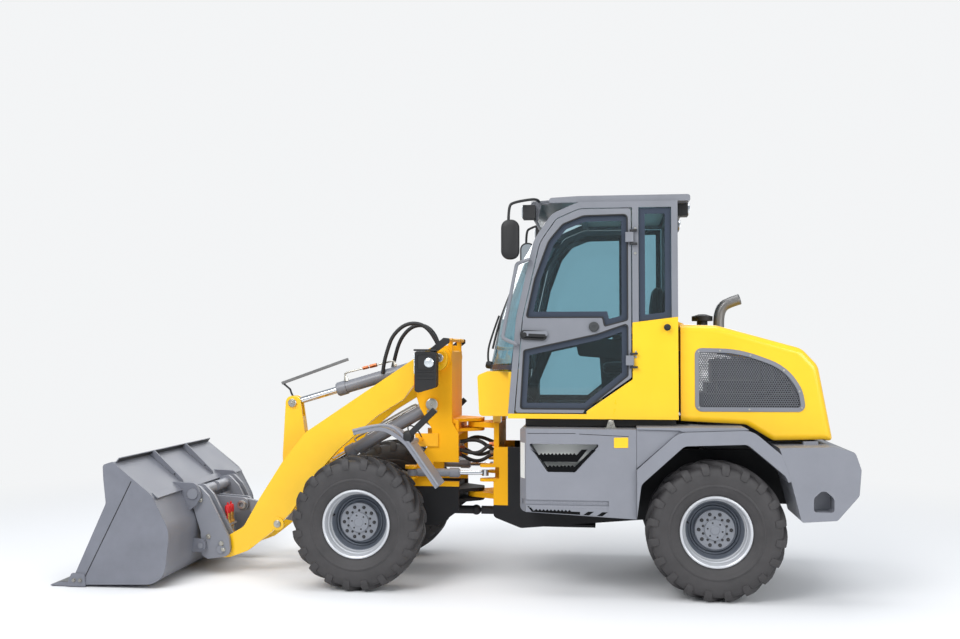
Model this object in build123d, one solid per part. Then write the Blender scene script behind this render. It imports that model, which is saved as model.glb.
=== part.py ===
"""Articulated wheel loader with cab, lug tyres, quick coupler and bucket.

Millimetres. +X is forward, +Y is the machine's left, +Z is up. The machine is drawn with X = 0 midway
between its axles, and every piece is moved at the end so that the origin is at the middle of the ground
under the whole machine.
"""
from build123d import *
import math
import os

# Wheels
WHEELBASE = 2560
WHEEL_Y = 660
TYRE_OD = 970
TYRE_WIDTH = 310
LUG_HEIGHT = 26
LUGS_PER_SIDE = 20
LUG_THICK = 36
RIM_RADIUS = 236
RIM_FLANGE_RADIUS = 251
RIM_HALF_WIDTH = 112
RIM_WALL = 12
RIM_DISC_Y = -40
HUB_RADIUS = 140
SPINDLE_RADIUS = 55
RUN_GAP = 0.3

# Frames and their hinge
RAIL_Y = 300
RAIL_WALL = 30
RAIL_TOP = 1010
BELLY_Z = 400
EAR_Z = (620, 1165)
EAR_THICK = 40
EAR_RADIUS = 62
HINGE_PIN_RADIUS = 32
TOWER_BACK_X = 655
LAMP_BAR = (670, 1825)
LAMP_Y = 415

# Lengths along the machine
PIVOT_X = 500
BUCKET_TIP_X = 3568
MACHINE_REAR_X = -2240
BOX_REAR_X = -735

# Side planes
TOWER_Y = 265
TOWER_WALL = 30
ARM_Y = 340
ARM_WALL = 50
LIFT_Y = 180
LEVER_Y = 45
CAB_Y = 690
CAB_WALL = 45
BOX_Y = 800
FENDER_Y = 830
HOOD_Y = 620
HOOD_WALL = 20
BUCKET_Y = 900

# Loader linkage points, X and Z with the bucket on the ground
ARM_PIVOT = (740, 1690)
COUPLER_PIN = (2455, 200)
LEVER_PIVOT = (1980, 800)
LEVER_TOP = (1993, 1322)
LEVER_FOOT = (1840, 380)
LINK_PIN = (2405, 500)
TILT_BASE = ARM_PIVOT
LIFT_BASE = (810, 1330)
LIFT_EYE = (1640, 860)
ARM_TUBE = (1752, 752)
PIN_RADIUS = 32
ARM_TUBE_RADIUS = 48

# Cylinders: radius of tube, rod and eye, and length of tube
LIFT_TUBE_RADIUS = 44
LIFT_ROD_RADIUS = 27
LIFT_TUBE_LENGTH = 800
LIFT_ROD_LENGTH = 844
TILT_TUBE_RADIUS = 50
TILT_ROD_RADIUS = 28
TILT_TUBE_LENGTH = 930
TILT_ROD_LENGTH = 900
STEER_TUBE_RADIUS = 30
STEER_ROD_RADIUS = 16
STEER_TUBE_LENGTH = 375
STEER_ROD_LENGTH = 352
STEER_PIN_RADIUS = 16
STEER_EYE_RADIUS = 28
STEER_Z = 812
STEER_REAR = (395, 280)
STEER_FRONT = (960, 330)
SHAFT_RADIUS = 32
EYE_RADIUS = 46
EYE_WIDTH = 52

# Cab heights and places
CAB_FLOOR_Z = 1255
CAB_ROOF_Z = 2815
ROOF_THICK = 47
VISOR_DROP = 125
CAB_LAMP = 100
CAB_FRONT_X = 180
CAB_REAR_X = -1034
DOOR_REAR_X = -705
NOSE_X = 420
NOSE_Z = 1590
WAIST_FRONT_Z = 1945
WAIST_REAR_Z = 1985
GLASS = 8
FRAME_BAR = 45
DOOR_GAP = 6
DOOR_BAR = 24

# Door hinges
HINGE_X = DOOR_REAR_X - 4
HINGE_Y = CAB_Y + 18
HINGE_ROWS = (1640, CAB_ROOF_Z - 295)
HINGE_LENGTH = 70
HINGE_PIN = 9
HINGE_BARREL = 13

# Hood
HOOD_FRONT_X = CAB_REAR_X - 20
HOOD_HINGE = (CAB_REAR_X - 18, 1948)
GRILLE = 8

# Front fenders
FENDER_THICK = 28
FENDER_INNER_Y = 520
FENDER_OUTER_Y = 800

# Bucket and coupler
BUCKET_PLATE = 16
BUCKET_SIDE = 20
COUPLER_PLATE = 30
HANGER_Y = (400, 425)
TOP_TUBE = (2672, 630)
TOP_TUBE_RADIUS = 42
LOCK_PIN = (2603, 232)
LOCK_PIN_RADIUS = 22
GROUND_GAP = 5

CAB_TOP_Z = CAB_ROOF_Z + ROOF_THICK
REAR_AXLE_X = -WHEELBASE / 2
FRONT_AXLE_X = WHEELBASE / 2
AXLE_Z = TYRE_OD / 2
ORIGIN_X = (BUCKET_TIP_X + MACHINE_REAR_X) / 2

os.makedirs("parts", exist_ok=True)


def save(name, *solids):
    """Write one node, moved to the machine's origin, with its tessellation left to the reader."""
    moved = [Pos(-ORIGIN_X, 0, 0) * solid for solid in solids]
    export_step(moved[0] if len(moved) == 1 else Compound(moved), f"parts/{name}.step")


def face_xz(outline, y):
    """Side outline of (x, z, corner radius) rows as a face in the plane at y."""
    edge = FilletPolyline(*[(x, z) for x, z, _ in outline], radius=[r for _, _, r in outline], close=True)
    return Plane.XZ.offset(-y) * make_face(edge)


def plate(outline, y0, y1):
    """Plate of a side outline, from y0 to y1."""
    return extrude(face_xz(outline, y0), amount=y1 - y0, dir=(0, 1, 0))


def band(path, thick):
    """Closed outline of a strip: an open path of (x, z, radius) rows and its copy, thick to the left."""
    shifted = []
    for i, (x, z, r) in enumerate(path):
        before = path[i - 1] if i else None
        after = path[i + 1] if i + 1 < len(path) else None
        sides = []
        for a, b in ((before, path[i]), (path[i], after)):
            if a and b:
                length = math.hypot(b[0] - a[0], b[1] - a[1])
                sides.append((-(b[1] - a[1]) / length, (b[0] - a[0]) / length))
        nx = sum(s[0] for s in sides)
        nz = sum(s[1] for s in sides)
        scale = len(sides) / (nx * nx + nz * nz) * thick
        turn = 0
        if len(sides) == 2:
            turn = sides[0][0] * sides[1][1] - sides[0][1] * sides[1][0]
        inner = r - thick if turn > 0 else r + thick
        shifted.append((x + nx * scale, z + nz * scale, max(inner, 0) if r else 0))
    return list(path) + shifted[::-1]


def bar(point, radius, y0, y1):
    """Round bar along Y through an (x, z) point."""
    return Pos(point[0], (y0 + y1) / 2, point[1]) * Rot(90, 0, 0) * Cylinder(radius, abs(y1 - y0))


def rod(start, end, radius):
    """Round bar between two points in space."""
    axis = Vector(*end) - Vector(*start)
    plane = Plane(origin=start, z_dir=axis)
    return plane * Cylinder(radius, axis.length, align=(Align.CENTER, Align.CENTER, Align.MIN))


def block(x0, x1, y0, y1, z0, z1):
    """Box between two corners."""
    return Pos((x0 + x1) / 2, (y0 + y1) / 2, (z0 + z1) / 2) * Box(abs(x1 - x0), abs(y1 - y0), abs(z1 - z0))


def flip(solid):
    """The same piece on the machine's other side."""
    return mirror(solid, about=Plane.XZ)


def around_y(profile):
    """Turned piece about the Y axis from (radius, y) rows."""
    edge = Polyline(*profile, close=True)
    return revolve(make_face(edge), axis=Axis.Y)


def tube_path(points, radii, radius):
    """Round tube along straight runs and tangent arcs."""
    path = FilletPolyline(*points, radius=radii)
    first = Vector(*points[1]) - Vector(*points[0])
    return sweep(Plane(origin=points[0], z_dir=first) * Circle(radius), path=path)


# Wheels: a lug tyre on a dished rim


def tyre():
    """Tyre about the origin with two rows of slanted lugs."""
    half = TYRE_WIDTH / 2
    tread = TYRE_OD / 2 - LUG_HEIGHT
    bead = RIM_RADIUS + 20
    rows = [
        (RIM_RADIUS, -RIM_HALF_WIDTH),
        (bead, -RIM_HALF_WIDTH),
        (bead + 54, -half + 6),
        (bead + 124, -half),
        (tread - 18, -half + 22),
        (tread, -half + 52),
    ]
    carcass = around_y(rows + [(r, -y) for r, y in rows[::-1]])
    reach = half - 6
    lean = reach * 0.95
    top = math.sqrt((TYRE_OD / 2) ** 2 - (lean / 2 + LUG_THICK / 2) ** 2)
    pitch = 360 / LUGS_PER_SIDE
    phase = math.degrees(math.asin((lean + LUG_THICK) / TYRE_OD))
    lugs = []
    for i in range(LUGS_PER_SIDE):
        for side in (1, -1):
            foot = [
                (-lean / 2 - LUG_THICK / 2, side * reach),
                (-lean / 2 + LUG_THICK / 2, side * reach),
                (lean / 2 + LUG_THICK / 2, -side * 8),
                (lean / 2 - LUG_THICK / 2, -side * 8),
            ]
            lug = extrude(make_face(Polyline(*foot, close=True)), amount=top - tread + 34)
            turn = pitch * (i + (0.5 if side < 0 else 0)) + phase
            lugs.append(Rot(0, turn, 0) * Pos(0, 0, tread - 34) * lug)
    return carcass + lugs


def rim():
    """Rim about the origin, its open dish towards +Y, bored for the axle's spindle."""
    wall = RIM_RADIUS - RUN_GAP - RIM_WALL
    seat = RIM_RADIUS - RUN_GAP
    lip = RIM_HALF_WIDTH + RUN_GAP
    bore = SPINDLE_RADIUS + RUN_GAP
    return around_y(
        [
            (0, 34),
            (72, 34),
            (72, 12),
            (HUB_RADIUS, 6),
            (HUB_RADIUS, RIM_DISC_Y),
            (wall, RIM_DISC_Y),
            (wall, lip + RIM_WALL),
            (RIM_FLANGE_RADIUS, lip + RIM_WALL),
            (RIM_FLANGE_RADIUS, lip),
            (seat, lip),
            (seat, -lip),
            (RIM_FLANGE_RADIUS, -lip),
            (RIM_FLANGE_RADIUS, -lip - RIM_WALL),
            (wall, -lip - RIM_WALL),
            (wall, RIM_DISC_Y - 14),
            (bore, RIM_DISC_Y - 14),
            (bore, -20),
            (0, -20),
        ]
    )


def axle(x):
    """Axle housing with a central drum, tapered arms, brake flanges and spindles."""
    end = WHEEL_Y - 21
    rows = [
        (0, 0),
        (165, 0),
        (165, 110),
        (78, 240),
        (78, 470),
        (130, 470),
        (130, 520),
        (95, 530),
        (95, 598),
    ]
    rows += [(SPINDLE_RADIUS, 598), (SPINDLE_RADIUS, end), (0, end)]
    half = around_y(rows)
    return Pos(x, 0, AXLE_Z) * (half + flip(half))


tyre_solid = tyre()
rim_solid = rim()
for place, x in (("front", FRONT_AXLE_X), ("rear", REAR_AXLE_X)):
    for side, y in (("left", WHEEL_Y), ("right", -WHEEL_Y)):
        turned = tyre_solid if y > 0 else flip(tyre_solid)
        dished = rim_solid if y > 0 else flip(rim_solid)
        save(f"tyre_{place}_{side}", Pos(x, y, AXLE_Z) * turned)
        save(f"rim_{place}_{side}", Pos(x, y, AXLE_Z) * dished)

# Rear frame: two long plates, cross plates and the hinge ears

rail = [
    (330, RAIL_TOP, 40),
    (-2080, RAIL_TOP, 30),
    (-2080, 620, 60),
    (REAR_AXLE_X - 300, 620, 60),
    (REAR_AXLE_X - 220, 700, 60),
    (REAR_AXLE_X + 220, 700, 60),
    (REAR_AXLE_X + 300, 500, 60),
    (120, BELLY_Z, 60),
    (330, 480, 40),
]
rail_solid = plate(rail, RAIL_Y - RAIL_WALL, RAIL_Y)

def ear(z, x_back, thick, gap_radius):
    """Flat hinge ear round the machine's pivot, bored with a running gap."""
    reach = EAR_RADIUS
    side = 1 if x_back > PIVOT_X else -1
    outline = FilletPolyline(
        (PIVOT_X - side * reach, -reach),
        (PIVOT_X - side * reach, reach),
        (x_back, 215),
        (x_back, -215),
        radius=[reach - 1, reach - 1, 0, 0],
        close=True,
    )
    solid = Pos(0, 0, z - thick / 2) * extrude(make_face(outline), amount=thick)
    if gap_radius:
        solid -= Pos(PIVOT_X, 0, z) * Cylinder(gap_radius, thick * 3)
    return solid


rear_frame = rail_solid + flip(rail_solid)
for x0, x1, z0, z1 in (
    (290, 330, 480, 1190),
    (-480, -450, 560, 980),
    (-2080, -2050, 640, 1000),
):
    rear_frame += block(x0, x1, -RAIL_Y + RAIL_WALL, RAIL_Y - RAIL_WALL, z0, z1)
rear_frame += block(-440, 100, -RAIL_Y + RAIL_WALL, RAIL_Y - RAIL_WALL, BELLY_Z + 10, BELLY_Z + 30)
for z in EAR_Z:
    rear_frame += ear(z, 292, EAR_THICK, HINGE_PIN_RADIUS + RUN_GAP)
for side in (1, -1):
    rear_frame -= block(286, 341, side * 185, side * (RAIL_Y + 1), STEER_Z - 44, STEER_Z + 44)
    for z0 in (STEER_Z - 64, STEER_Z + 44):
        cheek = FilletPolyline(
            (STEER_REAR[0] + 40, STEER_REAR[1] - 40),
            (STEER_REAR[0] + 40, STEER_REAR[1] + 40),
            (300, RAIL_Y),
            (300, RAIL_Y - 120),
            radius=[38, 38, 0, 0],
            close=True,
        )
        fork = Pos(0, 0, z0) * extrude(make_face(cheek), amount=20)
        rear_frame += fork if side > 0 else flip(fork)
rear_frame -= rod((200, 0, AXLE_Z), (400, 0, AXLE_Z), SHAFT_RADIUS + 25)
save("rear_frame", rear_frame)

rear_axle = axle(REAR_AXLE_X)
for side in (1, -1):
    rear_axle += block(
        REAR_AXLE_X - 70,
        REAR_AXLE_X + 70,
        side * 262,
        side * 308,
        AXLE_Z + 40,
        700 - RUN_GAP,
    )
save("rear_axle", rear_axle)

engine = block(-2000, -1250, -250, 250, 720, 1420)
for x in (-1900, -1450):
    engine += block(x, x + 90, -RAIL_Y + RAIL_WALL + RUN_GAP, RAIL_Y - RAIL_WALL - RUN_GAP, 800, 860)
save("engine_block", engine)
save("rear_shaft", rod((REAR_AXLE_X + 165 + RUN_GAP, 0, AXLE_Z), (PIVOT_X - 42, 0, AXLE_Z), SHAFT_RADIUS))

# Counterweight: a thick casting across the tail, with tie-down holes through its sides

weight_side = [
    (-1845, 572, 20),
    (-2080, 590, 30),
    (-2225, 760, 40),
    (-2240, 935, 30),
    (-2200, 1055, 40),
    (-2050, 1088, 20),
    (-1700, 1078, 0),
    (-1765, 900, 40),
]
weight = plate(weight_side, -FENDER_Y, FENDER_Y)
weight -= block(-2045, -1500, -RAIL_Y - RUN_GAP, RAIL_Y + RUN_GAP, 500, 1200)
weight -= block(-2080 - RUN_GAP, -1500, -RAIL_Y - RUN_GAP, RAIL_Y + RUN_GAP, 500, RAIL_TOP + RUN_GAP)
hole = [(-1925, 645, 20), (-2060, 645, 20), (-2060, 740, 40), (-1990, 800, 40), (-1925, 740, 40)]
for side in (1, -1):
    cut = plate(hole, FENDER_Y - 130, FENDER_Y + 10)
    weight -= cut if side > 0 else flip(cut)
    pad = plate(
        [(-2000, 1060, 0), (-2000, 1108.6, 0), (-1900, 1105.7, 0), (-1900, 1060, 0)],
        HOOD_Y - 60,
        HOOD_Y - 2,
    )
    weight += pad if side > 0 else flip(pad)
save("counterweight", weight)

# Rear fenders: a cranked band over each wheel with a wide face on its outside

arch_path = [
    (-735, 572, 0),
    (-767, 813, 60),
    (-1063, 1082, 60),
    (-1489, 1098, 60),
    (-1741, 885, 60),
    (-1760, 842, 0),
]
fenders = []
for side in (1, -1):
    skin = plate(band(arch_path[::-1], 14), 430, FENDER_Y)
    rim_face = plate(band(arch_path[::-1], 95), FENDER_Y - 40, FENDER_Y)
    rim_face -= plate(weight_side, 0, FENDER_Y + 10)
    skin -= plate(weight_side, 0, FENDER_Y + 10)
    solid = skin + rim_face
    solid -= block(BOX_REAR_X - RUN_GAP, -600, 0, FENDER_Y + 10, 0, 1400)
    solid -= block(-640, -2200, 0, 440, 0, 1012)
    fenders.append(solid if side > 0 else flip(solid))
save("rear_fenders", *fenders)

# Side boxes under the cab, each with an upper step recess and a lower tread

box_side = [
    (90, 1192, 20),
    (BOX_REAR_X + 1, 1192, 0),
    (BOX_REAR_X + 1, 566, 0),
    (90, 606, 30),
]
boxes = []
for side in (1, -1):
    solid = plate(box_side, RAIL_Y + RUN_GAP, BOX_Y)
    corner = [(91, BOX_Y + 1), (91, BOX_Y - 90), (40, BOX_Y + 1)]
    solid -= Pos(0, 0, 400) * extrude(make_face(Polyline(*corner, close=True)), amount=1000)
    step = [(24, 1085, 10), (-482, 1085, 10), (-307, 888, 20), (-111, 888, 20)]
    solid -= plate(step, BOX_Y - 190, BOX_Y + 1)
    solid -= block(70, -540, BOX_Y - 120, BOX_Y + 1, 655, 690)
    boxes.append(solid if side > 0 else flip(solid))
save("side_boxes", *boxes)

# Cab base: floor, tub walls and the nose under the windscreen


def waist(x):
    """Height of the slanted top edge of the cab's rear lower panel."""
    return WAIST_FRONT_Z + (WAIST_REAR_Z - WAIST_FRONT_Z) * (DOOR_REAR_X - 8 - x) / (DOOR_REAR_X - 8 - CAB_REAR_X)



cab_floor = block(CAB_FRONT_X, CAB_REAR_X, -CAB_Y, CAB_Y, CAB_FLOOR_Z, CAB_FLOOR_Z + 35)
nose = plate([(NOSE_X, CAB_FLOOR_Z, 30), (NOSE_X + 15, NOSE_Z - 30, 30), (NOSE_X - 60, NOSE_Z, 20),
              (CAB_FRONT_X, NOSE_Z, 0), (CAB_FRONT_X, CAB_FLOOR_Z, 0)], -450, 450)
nose -= block(CAB_FRONT_X - 1, NOSE_X - 40, -405, 405, CAB_FLOOR_Z + 35, NOSE_Z - 40)
nose -= block(CAB_FRONT_X - 1, NOSE_X - 90, -405, 405, NOSE_Z - 60, NOSE_Z + 10)
corner_wall = block(CAB_FRONT_X - 45, CAB_FRONT_X, 400, CAB_Y - FRAME_BAR, CAB_FLOOR_Z, NOSE_Z)
rear_tub = plate([(CAB_REAR_X, CAB_FLOOR_Z, 0), (CAB_REAR_X, WAIST_REAR_Z, 0), (DOOR_REAR_X - 8, WAIST_FRONT_Z, 0),
                  (DOOR_REAR_X - 8, 1540, 0), (-385, 1310, 0), (-385, CAB_FLOOR_Z, 0)], CAB_Y - CAB_WALL, CAB_Y)
back_wall = block(
    CAB_REAR_X,
    CAB_REAR_X + CAB_WALL,
    -CAB_Y + CAB_WALL,
    CAB_Y - CAB_WALL,
    CAB_FLOOR_Z,
    WAIST_REAR_Z,
)
sill = block(CAB_FRONT_X, -385, CAB_Y - CAB_WALL, CAB_Y, CAB_FLOOR_Z, 1290)
mounts = [block(x, x + 120, y, y + 100, RAIL_TOP + RUN_GAP, CAB_FLOOR_Z) for x in (-900,) for y in (-300, 200)]
mounts += [block(280, 340, y, y + 100, 1190 + RUN_GAP, CAB_FLOOR_Z + 10) for y in (-250, 150)]
cab_base = cab_floor + nose + back_wall
for piece in (corner_wall, rear_tub, sill):
    cab_base += piece
    cab_base += flip(piece)
for piece in mounts:
    cab_base += piece
for side in (1, -1):
    hanger = bar(HOOD_HINGE, 6, 285, 395)
    for y in (280, 384):
        hanger += block(
            HOOD_HINGE[0] - 8,
            CAB_REAR_X + 5,
            y,
            y + 16,
            HOOD_HINGE[1] - 10,
            HOOD_HINGE[1] + 10,
        )
    cab_base += hanger if side > 0 else flip(hanger)
save("cab_base", cab_base)

# Cab frame: door hoops and rear posts on each side, joined by cross bars

front_curve = [
    (CAB_FRONT_X, 1290, 0),
    (121, 1982, 500),
    (-8, CAB_ROOF_Z - 268, 300),
    (-141, CAB_ROOF_Z - 80, 120),
    (-329, CAB_ROOF_Z, 200),
    (-720, CAB_ROOF_Z, 0),
]
front_post = plate(band(front_curve, FRAME_BAR), CAB_Y - FRAME_BAR, CAB_Y)
front_post -= block(300, -10, 0, 900, 1200, 1290 + RUN_GAP)
middle_post = block(DOOR_REAR_X - 8, DOOR_REAR_X - 53, CAB_Y - FRAME_BAR, CAB_Y, 1900, CAB_ROOF_Z)
rear_post = block(CAB_REAR_X, CAB_REAR_X + FRAME_BAR, CAB_Y - FRAME_BAR, CAB_Y, 1900, CAB_ROOF_Z)
rail_bar = block(CAB_REAR_X, -700, CAB_Y - FRAME_BAR, CAB_Y, CAB_ROOF_Z - FRAME_BAR, CAB_ROOF_Z)
cab_frame = None
for piece in (front_post, middle_post, rear_post, rail_bar):
    for solid in (piece, flip(piece)):
        cab_frame = solid if cab_frame is None else cab_frame + solid
cab_frame += block(CAB_REAR_X, CAB_REAR_X + FRAME_BAR, -CAB_Y, CAB_Y, CAB_ROOF_Z - FRAME_BAR, CAB_ROOF_Z)
cab_frame += block(-380, -330, -CAB_Y, CAB_Y, CAB_ROOF_Z - 40, CAB_ROOF_Z)
cab_frame -= plate([(x, waist(x) + RUN_GAP, 0) for x in (CAB_REAR_X - 5, DOOR_REAR_X + 60)]
                   + [(DOOR_REAR_X + 60, 1800, 0), (CAB_REAR_X - 5, 1800, 0)], -CAB_Y - 5, CAB_Y + 5)
save("cab_frame", cab_frame)

# Cab roof with its front visor

roof = plate([(-120, CAB_TOP_Z - 10, 20), (-330, CAB_TOP_Z, 60), (-1125, CAB_TOP_Z, 20),
              (-1125, CAB_ROOF_Z + RUN_GAP, 10), (-120, CAB_ROOF_Z + RUN_GAP, 0)], -CAB_Y + 20, CAB_Y - 20)
visor = plate([(-330, CAB_TOP_Z, 30), (10, CAB_TOP_Z - 25, 25), (25, CAB_ROOF_Z - 15, 10), (-5, CAB_ROOF_Z - VISOR_DROP, 10),
               (-30, CAB_ROOF_Z - VISOR_DROP, 5),
               (-60, CAB_ROOF_Z + RUN_GAP, 0), (-330, CAB_ROOF_Z + RUN_GAP, 0)], -600, 600)
save("cab_roof", roof + visor)

lamps = []
for y in (600 + RUN_GAP, -700):
    lamps.append(block(-20, 70, y, y + CAB_LAMP - RUN_GAP, CAB_ROOF_Z - 15 - CAB_LAMP, CAB_ROOF_Z - 15))
for y in (430, -530):
    lamps.append(block(-1120, -1050, y, y + CAB_LAMP, CAB_ROOF_Z - 90, CAB_ROOF_Z))
save("cab_lamps", *lamps)

# Glass: curved windscreen, rear window and quarter windows

# Windscreen rows: height, X at its sides, X at its middle
screen_rows = [(NOSE_Z + RUN_GAP, 130, 385), (1982, 85, 300), (CAB_ROOF_Z - 415, -10, 150),
               (CAB_ROOF_Z - 135, -150, -20)]
screen_y = CAB_Y - FRAME_BAR - RUN_GAP
sections = []
for z, x_side, x_mid in screen_rows:
    front = ThreePointArc((x_side, -screen_y), (x_mid, 0), (x_side, screen_y))
    back = ThreePointArc((x_side - GLASS, screen_y), (x_mid - GLASS, 0), (x_side - GLASS, -screen_y))
    ends = [Line(front @ 1, back @ 0), Line(back @ 1, front @ 0)]
    sections.append(Pos(0, 0, z) * make_face([front, ends[0], back, ends[1]]))
save("windscreen", loft(sections, ruled=True))
save("rear_window", block(CAB_REAR_X + 18, CAB_REAR_X + 18 + GLASS, -CAB_Y + FRAME_BAR + RUN_GAP,
                          CAB_Y - FRAME_BAR - RUN_GAP, WAIST_REAR_Z + RUN_GAP, CAB_ROOF_Z - FRAME_BAR - RUN_GAP))
quarter_x = (CAB_REAR_X + FRAME_BAR + RUN_GAP, DOOR_REAR_X - 53 - RUN_GAP)
quarter = plate([(x, waist(x) + RUN_GAP, 0) for x in quarter_x]
                + [(x, CAB_ROOF_Z - FRAME_BAR - RUN_GAP, 0) for x in quarter_x[::-1]], CAB_Y - 30, CAB_Y - 30 + GLASS)
save("quarter_windows", quarter, flip(quarter))

# Driver's place

seat = block(-880, -560, -170, 170, CAB_FLOOR_Z + 35 + RUN_GAP, 1560)
seat += plate([(-480, 1560, 30), (-490, 1670, 50), (-810, 1650, 40), (-880, 2250, 50), (-980, 2250, 50),
               (-920, 1560, 30)], -240, 240)
save("seat", seat)
column_top = (-150, 1950)
column = rod((60, 0, 1450), (column_top[0], 0, column_top[1]), 38)
column += block(0, 130, -90, 90, CAB_FLOOR_Z + 35 + RUN_GAP, 1480)
wheel_plane = Plane(
    origin=(column_top[0], 0, column_top[1]),
    z_dir=(column_top[0] - 60, 0, column_top[1] - 1450),
)
column += wheel_plane * Torus(185, 15)
for turn in (0, 120, 240):
    column += wheel_plane * Rot(0, 0, turn) * Pos(93, 0, 0) * Box(186, 28, 14)
save("steering_column", column)

# Mirrors and handrails on both sides

mirror_left = tube_path([(-40, 600 + RUN_GAP, CAB_ROOF_Z + 23), (-40, 700, CAB_ROOF_Z + 27), (165, 780, CAB_ROOF_Z - 15),
                         (165, 790, CAB_ROOF_Z - 155)], [40, 40], 10)
mirror_left += block(90, 215, 775, 805, CAB_ROOF_Z - 415, CAB_ROOF_Z - 135)
save("mirrors", mirror_left, flip(mirror_left))
rail_y = CAB_Y + 48
rail_top = CAB_ROOF_Z - 415
rail_x = 121 - 129 * (rail_top - 1982) / (CAB_ROOF_Z - 268 - 1982)
grab = tube_path([(rail_x, CAB_Y + RUN_GAP, rail_top), (rail_x, rail_y, rail_top), (rail_x + 85, rail_y, rail_top - 30),
                  (215, rail_y, 1835),
                  (112, rail_y, 1790), (112, CAB_Y + RUN_GAP, 1790)], [20, 30, 30, 20], 13)
save("handrails", grab, flip(grab))

# Doors: a hoop frame with an upper and a lower window, hung on two hinges at its rear edge

door_curve = band(front_curve, FRAME_BAR + DOOR_GAP)[len(front_curve):][::-1]
door_top = CAB_ROOF_Z - FRAME_BAR - DOOR_GAP
door_outline = [(x, z, r) for x, z, r in door_curve[1:-1]]
door_outline = [(CAB_FRONT_X - 52, 1297, 20)] + door_outline
door_outline += [(DOOR_REAR_X, door_top, 20), (DOOR_REAR_X, 1552, 20), (-372, 1320, 20), (-360, 1297, 10)]
window_rear = DOOR_REAR_X + DOOR_BAR
upper_window = [(50, 1982, 20), (-12, 2260, 0), (-114, CAB_ROOF_Z - 278, 200), (-216, CAB_ROOF_Z - 157, 90),
                (-365, CAB_ROOF_Z - 98, 120), (
                    window_rear,
                    CAB_ROOF_Z - 93,
                    30,
                ), (window_rear, 1962, 20), (-515, 1918, 10),
                (-500, 1982, 10)]
lower_window = [
    (92, 1324, 20),
    (66, 1748, 20),
    (-455, 1862, 20),
    (window_rear, 1940, 20),
    (window_rear, 1565, 20),
    (-383, 1324, 20),
]
door = plate(door_outline, CAB_Y - CAB_WALL, CAB_Y)
panes = []
for window in (upper_window, lower_window):
    door -= plate(window, 0, CAB_Y + 10)
    pane = offset(face_xz(window, CAB_Y - 30), amount=-RUN_GAP)
    panes.append(extrude(pane, amount=GLASS, dir=(0, 1, 0)))
door += plate([(70, 1850, 15), (-110, 1850, 15), (-110, 1885, 15), (70, 1885, 15)], CAB_Y - 1, CAB_Y + 22)
for z in HINGE_ROWS:
    knuckle = Pos(HINGE_X, HINGE_Y, z + HINGE_LENGTH / 2) * Cylinder(HINGE_BARREL + 2, HINGE_LENGTH)
    knuckle += block(
        HINGE_X,
        DOOR_REAR_X + 40,
        HINGE_Y - 8,
        HINGE_Y + HINGE_BARREL + 2,
        z,
        z + HINGE_LENGTH,
    )
    knuckle += block(DOOR_REAR_X + 8, DOOR_REAR_X + 40, CAB_Y - 5, HINGE_Y, z, z + HINGE_LENGTH)
    knuckle -= Pos(HINGE_X, HINGE_Y, z) * Cylinder(HINGE_PIN + RUN_GAP, 4 * HINGE_LENGTH)
    door += knuckle
for side, name in ((1, "left"), (-1, "right")):
    save(f"door_{name}", door if side > 0 else flip(door))
    save(f"door_glass_{name}", *[pane if side > 0 else flip(pane) for pane in panes])
hinges = []
for z in HINGE_ROWS:
    hinge = Pos(HINGE_X, HINGE_Y, z + HINGE_LENGTH / 2) * Cylinder(HINGE_PIN, HINGE_LENGTH + 40)
    for z0 in (z - 20, z + HINGE_LENGTH + 6):
        hinge += block(HINGE_X - 40, HINGE_X - 5, CAB_Y + RUN_GAP, HINGE_Y + HINGE_BARREL, z0, z0 + 14)
        hinge += Pos(HINGE_X, HINGE_Y, z0 + 7) * Cylinder(HINGE_BARREL, 14)
    hinges.append(hinge)
    hinges.append(flip(hinge))
save("door_hinges", *hinges)

# Hood: a shell open below and towards the cab, with mesh panels in its sides and tail

hood_outline = [
    (HOOD_FRONT_X, 1232, 0),
    (HOOD_FRONT_X, 1932, 0),
    (-1310, 1926, 200),
    (-1900, 1760, 120),
    (-2010, 1640, 120),
    (-2105, 1112, 20),
    (-1690, 1100, 60),
    (-1505, 1212, 60),
]
hood_inner = [
    (HOOD_FRONT_X + 50, 1000, 0),
    (HOOD_FRONT_X + 50, 1932 - HOOD_WALL, 0),
    (-1310, 1926 - HOOD_WALL, 200),
    (-1890, 1760 - HOOD_WALL, 100),
    (-1990, 1632, 100),
    (-2105 + HOOD_WALL + 20, 1000, 0),
]
hood = plate(hood_outline, -HOOD_Y, HOOD_Y)
top_edges = [e for e in hood.edges() if abs(abs(e.center().Y) - HOOD_Y) < 1 and e.center().Z > 1500
             and e.center().X < HOOD_FRONT_X - 1]
hood = fillet(top_edges, 50)
hood -= plate(hood_inner, -HOOD_Y + HOOD_WALL, HOOD_Y - HOOD_WALL)
side_vent = [(-1172, 1745, 30), (-1465, 1738, 60), (-1780, 1620, 80), (-1880, 1460, 60), (-1898, 1332, 30),
             (-1172, 1330, 30)]
hood -= plate(side_vent, -HOOD_Y - 5, HOOD_Y + 5)
tail_lean = (2105 - 2010) / (1640 - 1112)
tail_x = [-2010 - (1640 - z) * tail_lean for z in (1180, 1560)]
tail_vent = [
    (tail_x[0] - 30, 1180, 0),
    (tail_x[1] - 30, 1560, 0),
    (tail_x[1] + 60, 1560, 0),
    (tail_x[0] + 60, 1180, 0),
]
hood -= plate(tail_vent, -430, 430)
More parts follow.
